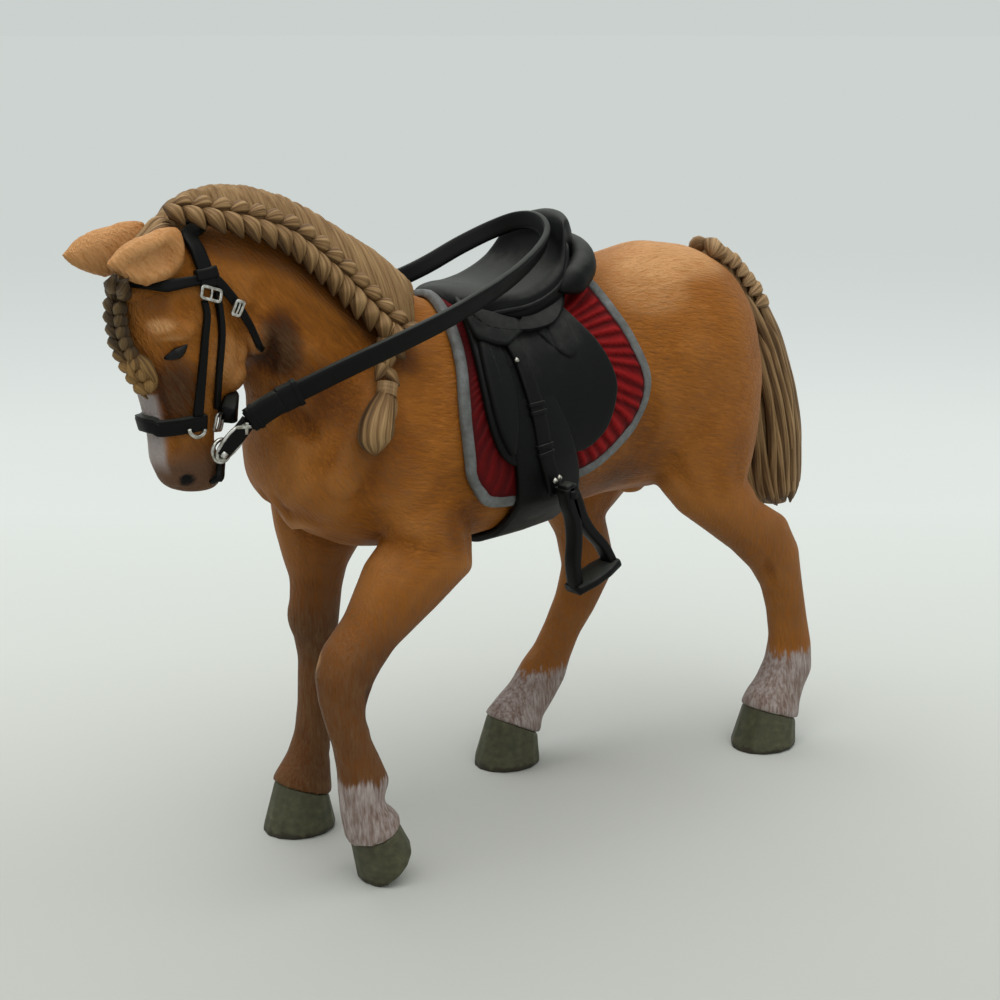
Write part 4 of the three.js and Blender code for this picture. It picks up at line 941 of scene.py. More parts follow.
def seat():
    rows = curve_through(seat_rows(), 56)
    rings = []
    for x, middle, rim, half, soft in rows:
        ring = []
        back = 1.3 * np.clip((-2 - x) / 4, 0, 1)
        for share in np.linspace(-1, 1, 45):
            a = abs(share)
            z = middle + (rim - middle) * a ** 2.2 - soft * max(0.0, (a - 0.82) / 0.18) ** 2
            ring.append((x + back * a ** 2, half * share, z))
        low = max(around(max(x, -9), GIRTH_Z, math.degrees(half / ROUND) * 1.05, 1.5)[0][2], rim - soft - 3.2)
        low = min(low, rim - soft - 1.2)
        for share in np.linspace(1, -1, 26):
            a = abs(share)
            ring.append((x + back * a ** 2, half * (0.99 if a == 1 else 0.93 * a ** 0.9) * np.sign(share), low))
        rings.append(ring)
    return drawn("seat", rings)


def welt():
    """The piped seam under the seat's rim."""
    places = []
    for x, middle, rim, half, soft in seat_rows()[2:10]:
        back = 1.3 * np.clip((-2 - x) / 4, 0, 1)
        places.append((x + back, half * 0.99, rim - soft - 0.9))
    made = []
    for side in (1, -1):
        spots = [(np.array((x, y * side, z)), np.array((-0.2, side * 0.9, -0.3))) for x, y, z in places]
        made.append(tress("welt", spots, 0.75, 0.9, steps=40, sides=10, flutes=0, groove=0, start=0.06, end=0.06))
    return made


def panel():
    """The stuffed panel between the pad and the cantle, which shows behind the seat."""
    path = [(-0.6, 10.0, 81.6), (-2.6, 9.7, 82.3), (-4.6, 9.1, 83.0), (-7.2, 7.7, 84.3), (-9.2, 5.0, 85.6),
            (-10.0, 1.8, 86.4)]
    path += [(x, -y, z) for x, y, z in path[::-1]]
    outs = [(0, 0.75, 0.6), (-0.1, 0.75, 0.6), (-0.3, 0.7, 0.6), (-0.6, 0.6, 0.5), (-0.8, 0.35, 0.45),
            (-0.88, 0.1, 0.45)]
    outs += [(x, -y, z) for x, y, z in outs[::-1]]
    return [drawn("panel", lock(path, outs, 4.5, 3.9, steps=64, sides=26, flutes=0, groove=0, start=0.1, end=0.1))]


def skirts():
    return [laid("skirt", outline_seen(SKIRT_PIXELS, side, (2.0, 11.4), (13.0, 10.4)), 2.95, 0.9, count=140)
            for side in (1, -1)]


saddle = joined("saddle_seat_leather", [seat(), *welt(), *panel(), *skirts()])


def girth():
    """The band under the belly, from flap to flap; it widens under the flaps."""
    sheet = []
    for lift, across in ((0.3, 0), (1.2, 0), (1.35, 0.04), (1.35, 0.5), (1.35, 0.96), (1.2, 1), (0.3, 1)):
        ring = []
        for turn in np.linspace(78, 282, 120):
            fold = abs(turn - 180)
            share = np.clip((102 - fold) / 102, 0, 1)
            x_front = 15.0 - 3.9 * min(1, share * 1.6)
            x_rear = 5.2 - 6.0 * min(1, share * 1.6)
            x = x_front + (x_rear - x_front) * across
            over = 1.3 * np.clip((fold - 40) / 14, 0, 1)
            ring.append(around(x, GIRTH_Z, turn, lift + over)[0])
        sheet.append(ring)
    sheet.append(sheet[0])
    return drawn("girth_strap", np.array(sheet), loop=False, ends=False)


girth_strap = girth()


# Hooves -------------------------------------------------------------------------

def hoof(node):
    piece = remeshed(node, node + "_horn", 0.22, 60)
    relax(piece, 3, push=0)
    points = points_of(piece)
    points[:, 2] = np.maximum(points[:, 2] * 1.06, 0)
    set_points(piece, points)
    smooth_shaded(piece)
    return piece


hooves = {node: hoof(node) for node in ("hoof_fore_left", "hoof_fore_right", "hoof_hind_left", "hoof_hind_right")}


# Straps -------------------------------------------------------------------------

def strap(name, path, outs, width, thick, steps=24, closed=False, widths=None):
    """A flat strap along a path, wide across it, with rounded edges."""
    middle = curve_through(path, steps + (0 if closed else 1), closed=closed)
    out = curve_through(outs, len(middle), closed=closed)
    along = (np.roll(middle, -1, axis=0) - np.roll(middle, 1, axis=0)) if closed else np.gradient(middle, axis=0)
    along = unit(along)
    across = unit(np.cross(along, out))
    out = np.cross(across, along)
    corner = [(1, 0.0), (1, 0.45), (0.93, 0.8), (0.82, 1.0), (0.4, 1.0), (0, 1.0)]
    loop = corner + [(-a, b) for a, b in corner[-2::-1]]
    loop += [(a, -b) for a, b in loop[-2:0:-1]]
    rings = []
    for i in range(len(middle)):
        wide = width
        if widths is not None:
            wide *= np.interp(i / (len(middle) - 1), np.linspace(0, 1, len(widths)), widths)
        rings.append([middle[i] + across[i] * wide / 2 * a + out[i] * thick / 2 * b for a, b in loop])
    if closed:
        rings.append(rings[0])
    return drawn(name, rings, ends=not closed)


def strap_seen(name, pixels, width, thick, lift, side=1, **more):
    return strap(name, *apart([seen(u, v, lift, side) for u, v in pixels]), width, thick, **more)


def far_side(spots):
    return [(place * (1, -1, 1), out * (1, -1, 1)) for place, out in spots[::-1]]


def across_head(pixels, lift, over):
    """The near side's places, the middle ones over the head, and the far side's."""
    near = [seen(u, v, lift) for u, v in pixels]
    return near + [nearest(point, lift) for point in over] + far_side(near)


def bridle():
    made = {}
    spots = across_head([(208, 288), (206, 274), (198, 252), (190, 234)], 0.7,
                        [(54.6, 3.0, 95.5), (55.4, 0, 97), (54.6, -3.0, 95.5)])
    crown = strap("crown", *apart(spots), 2.2, 0.8, steps=60)
    loops = [strap_seen("loop", [(196, 276), (206, 274), (216, 271)], 1.5, 1.15, 0.8, side,
                        steps=10) for side in (1, -1)]
    made["crownpiece"] = joined("crownpiece_strap", [crown, *loops])
    spots = across_head([(200, 280), (183, 283), (167, 286)], 0.6,
                        [(61.2, 4.6, 87.3), (62.6, 3.0, 87.4), (63.3, 1.4, 87.4), (63.6, 0, 87.4),
                         (63.3, -1.4, 87.4), (62.6, -3.0, 87.4), (61.2, -4.6, 87.3)])
    path = apart(spots)[0]
    outs = [unit((place - (56.5, 0, place[2])) * (1, 1.6, 0) + (0, 0, 2.2)) for place in path]
    made["browband"] = strap("browband_strap", path, outs, 1.6, 0.8, steps=60,
                             widths=(0.8, 0.95, 1.1, 1.1, 1.1, 0.95, 0.8))
    spots = across_head([(206, 423), (195, 425), (178, 428), (160, 430)], 0.6,
                        [(62.2, 2.2, 68.3), (62.9, 1.0, 68.4), (62.9, -1.0, 68.4), (62.2, -2.2, 68.3)])
    path, outs = apart(spots)
    nose = strap("nose", path, outs, 1.9, 0.85, steps=60)
    padded = strap("nose_edge", [place + (0, 0, 0.95) for place in path], outs, 0.55, 1.1, steps=60)
    made["noseband"] = joined("noseband_strap", [nose, padded])
    chin = [(np.array((x, y, z)), np.array((-0.75, y * 0.17, -0.1))) for x, y, z in (
        (52.9, 5.3, 69.2), (51.9, 4.3, 69.6), (50.8, 2.5, 69.8), (49.9, 0, 69.8),
        (50.8, -2.5, 69.8), (51.9, -4.3, 69.6), (52.9, -5.3, 69.2))]
    curb = across_head([(222, 452), (221, 466), (216, 480)], 0.6, [])
    made["chin_strap"] = joined("chin_strap_loop", [
        strap("chin", *apart(chin), 4.2, 2.0, steps=30, widths=(0.5, 0.9, 1, 1, 1, 0.9, 0.5)),
        strap("curb", *apart(curb), 1.2, 0.8, steps=40)])
    for side, name in ((1, "left"), (-1, "right")):
        made["cheekpiece_" + name] = strap_seen("cheek_strap_" + name,
                                                [(204, 300), (207, 315), (205, 339), (202, 375), (198, 416)], 1.15,
                                                0.75, 0.6, side, steps=26, widths=(0.7, 0.85, 1, 1.2))
        made["bit_cheek_" + name] = strap_seen("bit_cheek_strap_" + name,
                                               [(217, 292), (220, 311), (222, 335), (219, 375), (217, 408)], 0.85,
                                               0.75, 0.6, side, steps=26)
    spots = across_head([(212, 277), (222, 286), (236, 303), (251, 327), (262, 351)], 0.6, [])
    for k in (4, 5):  # the ends under the jaw sink into the crease
        place, out = spots[k]
        spots[k] = (place - out * 0.6, out)
    end = spots[4][0]
    under = [(np.array((end[0] - 1.6, y, end[2] + 0.4)), np.array((-1.0, 0, 0))) for y in (3.4, 0, -3.4)]
    spots[5:5] = under
    made["throatlash"] = strap("throatlash_strap", *apart(spots), 1.25, 0.75, steps=80,
                               widths=(1.15, 1, 0.8, 0.6, 0.6, 0.6, 0.8, 1, 1.15))
    return made


bridle_straps = bridle()


def frame_buckle(name, u, v, wide, tall, turn, side=1, wire=0.42, lift=1.25):
    """A square buckle: a rounded wire bent round the strap, with a tongue."""
    middle, out = seen(u, v, lift, side)
    up = unit(np.array((0, 0, 1.0)) - out * out[2])
    right = np.cross(up, out)
    a = math.radians(turn) * side
    up, right = up * math.cos(a) + right * math.sin(a), right * math.cos(a) - up * math.sin(a)
    quarter = [(1, 0), (1, 0.75), (0.75, 1)]
    loop = quarter + [(-y, x) for x, y in quarter]
    loop += [(-x, -y) for x, y in loop]
    corners = [middle + right * x * wide / 2 + up * y * tall / 2 for x, y in loop]
    ring = strap("frame", corners, [out] * 12, wire, wire, steps=48, closed=True)
    tongue = strap("tongue", [middle + up * tall * 0.5, middle + out * 0.12, middle - up * tall * 0.5], [out] * 3,
                   wire * 0.7, wire * 0.7, steps=8)
    return joined(name, [ring, tongue])


buckles = {"cheek_buckle_left": frame_buckle("cheek_buckle_frame_left", 211, 294, 2.9, 1.5, 18),
           "cheek_buckle_right": frame_buckle("cheek_buckle_frame_right", 211, 294, 2.9, 1.5, 18, side=-1),
           "throat_buckle": frame_buckle("throat_buckle_frame", 238, 308, 1.1, 1.9, 20)}


# Reins --------------------------------------------------------------------------

REIN_PATH = [(51.2, 7.5, 68.6), (48, 9, 70.8), (43.6, 10.95, 73), (38.2, 12.45, 75.2), (30.3, 13.2, 77.7),
             (21.4, 12.9, 80.3), (11.5, 11.55, 83.5), (3.8, 9, 86.3), (-1.8, 5.55, 88.8), (-3.9, 1.5, 90.5),
             (-3.9, -3, 90.5), (-1.9, -6.8, 89), (2.3, -9.6, 86.6), (7.4, -11.55, 83.8), (13, -12.45, 81.8),
             (21.4, -12.9, 79.7), (30.3, -13.2, 77.3), (38.2, -12.45, 75.2), (43.6, -10.95, 73), (48, -9, 70.8),
             (51.2, -7.5, 68.6)]
SLEEVES = [  # mm from the rein's end to where each starts and ends, width, thickness
    (0.2, 5.2, 3.3, 1.9), (5.0, 7.6, 3.55, 1.75), (1.0, 1.6, 3.6, 2.2), (7.2, 7.9, 3.75, 2.0)]


def square_to(along, side):
    """The outward direction that is square to a line beside the bit."""
    return unit(np.cross(along, np.cross((0, side * 1.0, 0), along)))


def rein():
    path = curve_through(REIN_PATH, 241)
    outs = unit(np.cross(unit(np.gradient(path, axis=0)), (0, 0, 1.0)))
    run = np.concatenate([[0], np.cumsum(np.linalg.norm(np.diff(path, axis=0), axis=1))])
    made = [strap("rein", path[::2], outs[::2], 2.75, 1.0, steps=240)]
    for start, end, width, thick in SLEEVES:
        for at in (np.linspace(start, end, 6), run[-1] - np.linspace(start, end, 6)):
            points, ups = (np.stack([np.interp(at, run, line[:, k]) for k in range(3)], axis=1)
                           for line in (path, outs))
            made.append(strap("sleeve", points, ups, width, thick, steps=10))
    for side in (1, -1):
        foot, top = np.array((54.6, side * 6.2, 64.2)), np.array((51.0, side * 7.5, 68.7))
        out = square_to(top - foot, side)
        made.append(strap("hook_plate", [foot - out * 0.05, (foot + top) / 2, top - out * 0.05], [out] * 3, 2.3,
                          0.7, steps=16, widths=(0.75, 1.0, 1.0)))
    return joined("rein_strap_moulded", made)


rein_strap = rein()


def bit_ring(side):
    middle = np.array((54.1, side * 5.3, 64.7))
    path = [middle + (math.cos(a) * 1.3, 0, math.sin(a) * 1.5) for a in turns(24)]
    ring = drawn_ring("ring", path, np.array((0, 1.0, 0)), 0.3)
    arc = strap_seen("arc", [(189, 429), (191, 434), (197, 437), (203, 434), (205, 429)], 0.5, 0.5, 1.2, side,
                     steps=14)
    return joined("bit_ring_round", [ring, arc, frame_buckle("square", 219, 422, 1.7, 2.3, 8, side, wire=0.36)])


def drawn_ring(name, path, out, radius):
    path = np.array(path)
    across = np.cross(unit(np.roll(path, -1, axis=0) - np.roll(path, 1, axis=0)), out)
    rings = [[place + side * math.cos(a) * radius + out * math.sin(a) * radius for a in turns(12)]
             for place, side in zip(path, across)]
    return drawn(name, rings + [rings[0]], ends=False)


def rein_hook(side):
    """The silver rim, pin and prongs of the hook from the bit ring to the rein's end."""
    foot = np.array((54.4, side * 6.2, 64.5))
    top = np.array((51.6, side * 7.4, 68.1))
    along = unit(top - foot)
    out = square_to(along, side)
    across = np.cross(along, out)
    length = np.linalg.norm(top - foot)
    oval = [foot + along * (length * 0.42 + math.cos(a) * length * 0.62) + across * math.sin(a) * 1.15
            for a in turns(20)]
    rim = drawn_ring("rim", oval, out, 0.26)
    pin = strap("pin", [foot - out * 0.9, foot + out * 0.7], [along, along], 0.8, 0.8, steps=4)
    prongs = [strap("prong", [top - along * 0.9 + across * way, top + along * 0.5 + out * 0.6 - across * way * 0.5],
                    [out, out], 0.5, 0.45, steps=6) for way in (1, -1)]
    return joined("rein_hook_link", [rim, pin, *prongs])


bit_rings = {"bit_ring_left": bit_ring(1), "bit_ring_right": bit_ring(-1)}
hooks = {"rein_hook_left": rein_hook(1), "rein_hook_right": rein_hook(-1)}


# Stirrups -----------------------------------------------------------------------

LEATHER_LIFT = 2.75  # mm from the skin to the strap's middle
PIN_X, PIN_Z = 6.89, 54.48  # where an iron hangs on its leather
REST_TURN = 0.36  # radians by which an iron hangs back


def leather(side):
    spots = [beside(x, z, LEATHER_LIFT, side) for x, z in (
        (10.3, 74.2), (9.6, 71.6), (9.3, 67.8), (8.9, 63.6), (8.4, 59.6))]
    spots += [(np.array((x, side * y, z)), np.array((0, side, 0)))
              for x, y, z in ((7.5, 18.25, 56.2), (6.9, 18.1, 53.9))]
    path, outs = apart(spots)
    made = [strap("leather", path, outs, 2.5, 0.95, steps=30)]
    line, ups = curve_through(path, 41), curve_through(outs, 41)
    for k in (17, 19, 27, 29):
        made.append(strap("keeper", line[k:k + 2], ups[k:k + 2], 2.95, 1.45, steps=4))
    pin = np.array((PIN_X, side * 18.2, PIN_Z))
    made.append(strap("pin", [pin, pin + (0, side * 4.3, 0)], [(1, 0, 0)] * 2, 1.2, 1.2, steps=6))
    return joined("stirrup_leather_strap", made)


leathers = {"left": leather(1), "right": leather(-1)}


def iron(side):
    """A curved stirrup iron: a solid head that parts into two legs over a wide tread."""
    pivot, out = np.array((PIN_X, side * 21.07, PIN_Z)), np.array((0, side * 1.0, 0))
    down = np.array((-math.sin(REST_TURN), 0, -math.cos(REST_TURN)))
    fore = np.array((math.cos(REST_TURN), 0, -math.sin(REST_TURN)))

    def at(forward, below):
        return pivot + fore * forward + down * below
    made = []
    for way in (1, -1):
        path = [at(0.35 * way, -1.1), at(0.55 * way, 1.5), at(0.65 * way, 4.2), at(1.5 * way, 7.2),
                at(2.9 * way, 10.4), at(3.55 * way, 13.6)]
        made.append(strap("leg", path, [out] * 6, 1.55, 2.3, steps=26, widths=(1.1, 1.2, 1.05, 0.95, 0.9, 0.9)))
    made.append(strap("head", [at(0, -1.5), at(0, 1.2), at(0, 4.6)], [out] * 3, 2.3, 2.1, steps=12,
                      widths=(0.7, 1.0, 0.8)))
    tread = [at(4.2, 13.9), at(0, 13.9), at(-4.2, 13.9)]
    made.append(strap("tread", tread, [-down] * 3, 4.8, 1.3, steps=20, widths=(0.72, 1.0, 1.0, 0.72)))
    return joined("stirrup_iron_arch", made)


irons = {"left": iron(1), "right": iron(-1)}


# Eyes ---------------------------------------------------------------------------

def eye(side):
    """A dark almond under the upper lid."""
    spots = [seen(u, v, lift, side) for u, v, lift in ((163, 359, -0.1), (169, 357, 0.1), (176, 354, 0.16),
                                                       (182, 350, 0.1), (188, 344, -0.1))]
    return tress("eye", spots, 1.5, 0.8, steps=18, sides=18, flutes=0, groove=0, start=0.5, end=0.45)


eyes = joined("painted_eyes", [eye(1), eye(-1)])


def stud(place, out):
    path = [place - (0, 0, 0.45), place + out * 0.15, place + (0, 0, 0.45)]
    return drawn("stud", lock(path, [out], 0.9, 0.8, steps=8, sides=12, flutes=0, groove=0, start=0.5, end=0.5))


flap_studs = joined("flap_studs", [stud(*beside(10.9, 71.4, 3.4, side)) for side in (1, -1)])
leather_studs = {name: joined("leather_studs_" + name, [
    stud(np.array((x, side * 19.5, z)), np.array((0, side * 1.0, 0))) for x, z in ((8.2, 56.3), (7.4, 56.6))])
    for name, side in (("left", 1), ("right", -1))}


# The coat's zones ---------------------------------------------------------------

BEHIND_JAW = [  # place, radii, strength: painted shade behind the cheek and under the jaw, over the figure's darker paint there
    ((45.2, 7.0, 78.0), (4.6, 8.0, 6.0), 0.75), ((41.0, 7.0, 71.0), (8.0, 8.0, 7.0), 0.35)]
SHADED = [  # place, radii, strength: more painted shade, with darker paint, on both sides
    ((60.0, 4.5, 72.5), (4.4, 5.0, 7.0), 0.7), ((33.0, 11.0, 62.0), (9.0, 7.0, 9.0), 0.25),
    ((57.5, 4.5, 62.5), (4.5, 5.0, 4.5), 0.3), ((-14.0, 12.0, 56.0), (8.0, 9.0, 12.0), 0.2),
    ((-4.0, 13.0, 51.0), (16.0, 9.0, 6.0), 0.25), ((22.0, 12.0, 50.0), (7.0, 8.0, 6.0), 0.3),
    ((-34.0, 10.0, 54.0), (10.0, 8.0, 8.0), 0.12), ((62.5, 4.0, 84.5), (3.0, 3.0, 2.0), 0.3),
    ((-44.0, 9.0, 47.0), (6.0, 7.0, 6.0), 0.15)]
BRIGHT = [  # place, radii, strength: where the coat is paler, from dry-brushing and from painted highlights on the rump's top, the brow, the upper lid and the ear
    ((-30.0, 6.0, 85.0), (18.0, 9.0, 6.0), 0.8), ((-20.0, 8.0, 80.0), (9.0, 8.0, 6.0), 0.5),
    ((62.3, 5.0, 82.0), (2.6, 2.6, 1.3), 0.9), ((51.5, 7.0, 76.0), (5.5, 4.0, 7.0), 0.3),
    ((65.0, 5.6, 91.8), (8.5, 5.5, 6.0), 0.85), ((41.5, 3.0, 48.5), (5.0, 5.0, 4.5), 0.5),
    ((-49.0, 7.0, 74.0), (4.0, 8.0, 12.0), 0.3), ((60.8, 5.6, 80.3), (2.2, 2.0, 0.6), 0.6)]
DRYBRUSH_AND_HIGHLIGHT_STROKES = [  # path, width, strength: pale strokes of dry-brushing; down the foreleg's front they are a painted highlight as well
    ([(40.0, 9.5, 47.0), (41.5, 10.0, 43.0)], 1.6, 0.55),
    ([(43.6, 10.0, 38.0), (43.0, 11.0, 33.0), (40.6, 12.0, 26.0), (39.0, 12.2, 20.0)], 0.9, 0.5),
    ([(-2.0, 10.0, 46.5), (-16.0, 9.5, 45.5)], 2.2, 0.6)]
SOCKS = [  # the leg's middle (X, Y), the height where the white starts and where it is full
    ((35.0, 12.0), 17.8, 13.4), ((-9.0, -10.6), 17.2, 12.2), ((-47.0, 11.0), 18.6, 12.4)]


def step(values, low, high):
    share = np.clip((values - low) / (high - low), 0, 1)
    return share * share * (3 - 2 * share)


def paint_zones():
    points, normals = figure_points()
    kept = points_of(body)
    relax(body, 70, push=0)
    hollow = ((points_of(body) - kept) * normals).sum(axis=1)
    set_points(body, kept)
    x, z = points[:, 0], points[:, 2]
    here = points * (1, 0, 1) + np.abs(points) * (0, 1, 0)
    head = x > 60.5
    wash, pale = np.full(len(points), 0.3), np.zeros(len(points))
    # Painted shade, with the figure's darker paint: behind the jaw and at the shaded places.
    for centre, radii, strength in BEHIND_JAW:
        wash += strength * dab(here, centre, radii) * step(-x + np.clip(z - 77, 0, 8) * 0.5, -48.2, -47)
    for centre, radii, strength in SHADED:
        wash += strength * dab(here, centre, radii)
    # Paler paint: dry-brushing, with painted highlights.
    for centre, radii, strength in BRIGHT:
        pale += strength * dab(here, centre, radii)
    for path, width, strength in DRYBRUSH_AND_HIGHLIGHT_STROKES:
        pale += strength * fade(line_distance(here, path) / width)
    inner = np.clip(-normals[:, 1] * np.sign(points[:, 1]), 0, 1)
    front, brow = x > 20, head & (z > 87)
    # Painted shade: darker where the coat faces down, and on the inner sides of the lower legs.
    wash += 0.1 * step(-normals[:, 2], 0.2, 0.8) + 0.14 * inner * (z < 52)
    # Darker towards the lower legs, more on the fore legs.
    wash += (0.15 + 0.08 * front) * step(-z, -48, -38) + 0.34 * front * step(-z, -40, -31)
    # Painted shade in the hollows, taken off the brow and the ears.
    wash += np.clip(hollow * 0.2, -0.06, 0.12) * ~brow - 0.12 * brow
    # Painted shade under the plait.
    under_plait = line_distance(here, np.array(PLAIT)[:, :3] + (-1.0, 1.0, -3.4))
    wash += 0.4 * fade(under_plait / 3.4)
    # Paler on raised ridges, from dry-brushing and painted highlight, and a painted highlight where the coat faces
    # up.
    pale += np.clip(-hollow * 0.4, 0, 0.14) + 0.16 * step(normals[:, 2], 0.6, 0.98) * (x < 62)
    white = np.zeros(len(points))
    for (leg_x, leg_y), start, full in SOCKS:
        near = np.hypot(x - leg_x, points[:, 1] - leg_y) < 11
        white = np.maximum(white, near * step(-z, -start - 1.5, -full))
    face = step(normals[:, 0], 0.1, 0.5) * (x > 54)
    blaze = face * step(-np.abs(points[:, 1]), -2.5, -1.9) * step(z, 61.0, 64.5) * step(-z, -73.0, -72.4)
    muzzle = (x > 48) * step(-z, -66.5, -62.0) * (z < 70)
    nostril = np.linalg.norm((here - (58.2, 3.7, 60.9)) / (1.1, 2.0, 0.95), axis=1)
    spot = np.linalg.norm((points - (-38.4, 10.6, 34.0)) / (1.2, 1.4, 1.2), axis=1)
    black = np.maximum(step(-nostril, -1.1, -0.8), step(-spot, -1.2, -0.7))
    legs, neck = step(-z, -50, -40), step(x + (z - 60) * 0.5, 26, 40) * step(z, 46, 54)
    for name, values in dict(wash=np.clip(wash, 0, 1), pale=np.clip(pale, 0, 1), white=white, blaze=blaze,
                             muzzle=muzzle, black=black, legs=legs, neck=neck).items():
        put(body, name, values)


paint_zones()


# Paints -------------------------------------------------------------------------

def coat_paint():
    paint = Paint("chestnut_coat", roughness=0.5, specular=0.16)
    legs, neck = paint.attribute("legs"), paint.attribute("neck")

    def hair(across, along, detail):
        """Hair lines that run back along the trunk, down the neck and down the legs."""
        trunk, nape, limb = (paint.noise(paint.turned((0, slope, 0), (along, across, across)), 1.0, detail, 0.6)
                             for slope in (-14, -52, -88))
        body_hair = trunk * (1 - neck) + nape * neck
        return body_hair * (1 - legs) + limb * legs
    fine, flecks = hair(2.6, 0.45, 2.0), hair(0.9, 0.17, 3.0)
    patches = paint.noise(paint.place, 0.11, 3.0, 0.6)
    wash, pale = paint.attribute("wash"), paint.attribute("pale")
    # The coat darkens with the zones' painted shade and darker paint, and with noise.
    depth = (wash + (patches - 0.5) * 0.28 + (flecks - 0.5) * 0.35 + (fine - 0.5) * 0.6).clamped()
    colour = paint.stops(depth, [(0.0, shade(178, 112, 46)), (0.3, shade(148, 88, 24)), (0.55, shade(118, 66, 14)),
                                 (0.8, shade(84, 43, 8)), (1.0, shade(50, 24, 5))])
    # Dry-brushing and painted highlights, paler along the hair lines.
    drybrush_and_highlight = (pale + (flecks - 0.5) * 0.9 * (pale + 0.16) + (fine - 0.5) * 1.5 * (pale + 0.14)).clamped()
    colour = paint.mix(drybrush_and_highlight * 0.85, colour, shade(216, 162, 108))
    muzzle = (paint.attribute("muzzle") + (patches - 0.5) * 0.3).clamped()
    colour = paint.mix(muzzle * 0.85, colour, shade(86, 64, 50))
    edge = paint.attribute("white") + (flecks - 0.5) * 1.1 + (fine - 0.5) * 0.5
    sock = paint.stops((fine * 0.6 + flecks * 0.5).from_to(0.35, 0.8),
                       [(0.0, shade(122, 100, 90)), (1.0, shade(186, 174, 170))])
    colour = paint.mix(edge.from_to(0.35, 0.75) * paint.attribute("white").from_to(0.02, 0.2), colour, sock)
    colour = paint.mix(paint.attribute("blaze") * (0.8 + fine * 0.3).clamped(), colour, shade(168, 158, 156))
    colour = paint.mix(paint.attribute("black"), colour, shade(10, 9, 9))
    paint.set("Base Color", colour)
    paint.set("Roughness", 0.4 + (patches * 0.16 + flecks * 0.12))
    paint.bump(fine * 0.9 + flecks * 0.45, 0.42, 0.9)
    return paint.material


def hair_paint(name, light, dark, deep, tip=None):
    paint = Paint(name, roughness=0.6, specular=0.3)
    grain = paint.node("ShaderNodeAttribute", dict(attribute_name="grain"), {}, output="Vector")
    strands = paint.noise(paint.vector("MULTIPLY", grain, (2.6, 2.6, 0.14)), 1.0, 3.0)
    patches = paint.noise(paint.place, 0.12, 2.0)
    proud = paint.attribute("proud")
    # Painted light: tops of locks and leaves lighter, their undersides and the gaps between them darker, as painted
    # highlight and painted shade.
    tone = strands * 0.65 + patches * 0.2 + proud * 0.42
    colour = paint.stops(tone.from_to(0.25, 1.08), [(0.0, deep), (0.42, dark), (0.9, light)])
    if tip:
        end = paint.parts(paint.place)[2].from_to(*tip[:2])
        colour = paint.mix(end * 0.7, colour, paint.mix((strands + proud * 0.3).from_to(0.4, 0.85), *tip[2:]))
    paint.set("Base Color", colour)
    paint.bump(strands, 0.3, 0.9)
    return paint.material


COAT = coat_paint()
MANE = hair_paint("mane_hair", shade(182, 148, 102), shade(124, 92, 54), shade(52, 33, 15))
TAIL = hair_paint("tail_hair", shade(170, 136, 92), shade(98, 70, 38), shade(42, 26, 11),
                  (69, 76, shade(134, 102, 64), shade(204, 168, 124)))
DARK_HAIR = hair_paint("forelock_hair", shade(118, 94, 58), shade(76, 56, 30), shade(32, 22, 11),
                       (80, 76.5, shade(96, 66, 30), shade(172, 132, 76)))
finish(body, "horse", "coat", COAT, "body_casting")
finish(joined("mane_plait", mane_pieces), "horse", "hair", MANE, "mane_braid")
finish(mane_tie, "horse", "tie", TAIL, "mane_tie")
finish(joined("forelock_plait", forelock_pieces), "horse", "hair", DARK_HAIR, "forelock_braid")
finish(joined("tail_hair_locks", tail_pieces), "horse", "tail_hair", TAIL, "tail")


def leather_paint(name, colour, paler_tone, roughness, grain=0.035):
    """Moulded plastic painted as leather: fine grain, paler in patches of wear, and paler where it faces up as a
    painted highlight.
    """
    paint = Paint(name, roughness=roughness, specular=0.12)
    patches = paint.noise(paint.place, 0.35, 4.0, 0.65)
    pores = paint.noise(paint.place, 5.5, 2.0)
    # Painted highlight: surfaces that face up are paler.
    up = paint.node("ShaderNodeNewGeometry", {}, {}, output="Normal")
    lift = paint.parts(up)[2].from_to(0.25, 1.0)
    paint.set("Base Color", paint.stops((patches * 0.6 + lift * 0.6).from_to(0.4, 1.05),
                                        [(0.0, colour), (1.0, paler_tone)]))
    paint.set("Roughness", roughness + (patches - 0.5) * 0.25)
    paint.bump(pores * 0.7 + patches * 0.8, grain, 0.7)
    return paint.material


def cloth_paint():
    paint = Paint("red_cloth", roughness=0.7, specular=0.15)
    patches = paint.noise(paint.place, 0.22, 3.0)
    weave = paint.noise(paint.place, 6.0, 2.0)
    # Painted shade and highlight: the cloth is darker down in the quilting's grooves and lighter on its ridges.
    folds = paint.attribute("proud")
    tone = (patches * 0.35 + weave * 0.15 + folds * 0.9).from_to(0.1, 0.95)
    paint.set("Base Color", paint.stops(tone, [(0.0, shade(52, 3, 6)), (0.22, shade(90, 5, 8)),
                                               (0.6, shade(124, 9, 13)), (1.0, shade(156, 26, 28))]))
    paint.bump(weave, 0.04, 0.6)
    return paint.material


def binding_paint():
    paint = Paint("grey_binding", roughness=0.65, specular=0.3)
    patches = paint.noise(paint.place, 0.4, 4.0, 0.7)
    paint.set("Base Color", paint.stops(patches.from_to(0.25, 0.8),
                                        [(0.0, shade(88, 88, 85)), (0.5, shade(108, 110, 109)),
                                         (1.0, shade(126, 130, 130))]))
    paint.bump(paint.noise(paint.place, 5.0, 2.0), 0.04, 0.6)
    return paint.material


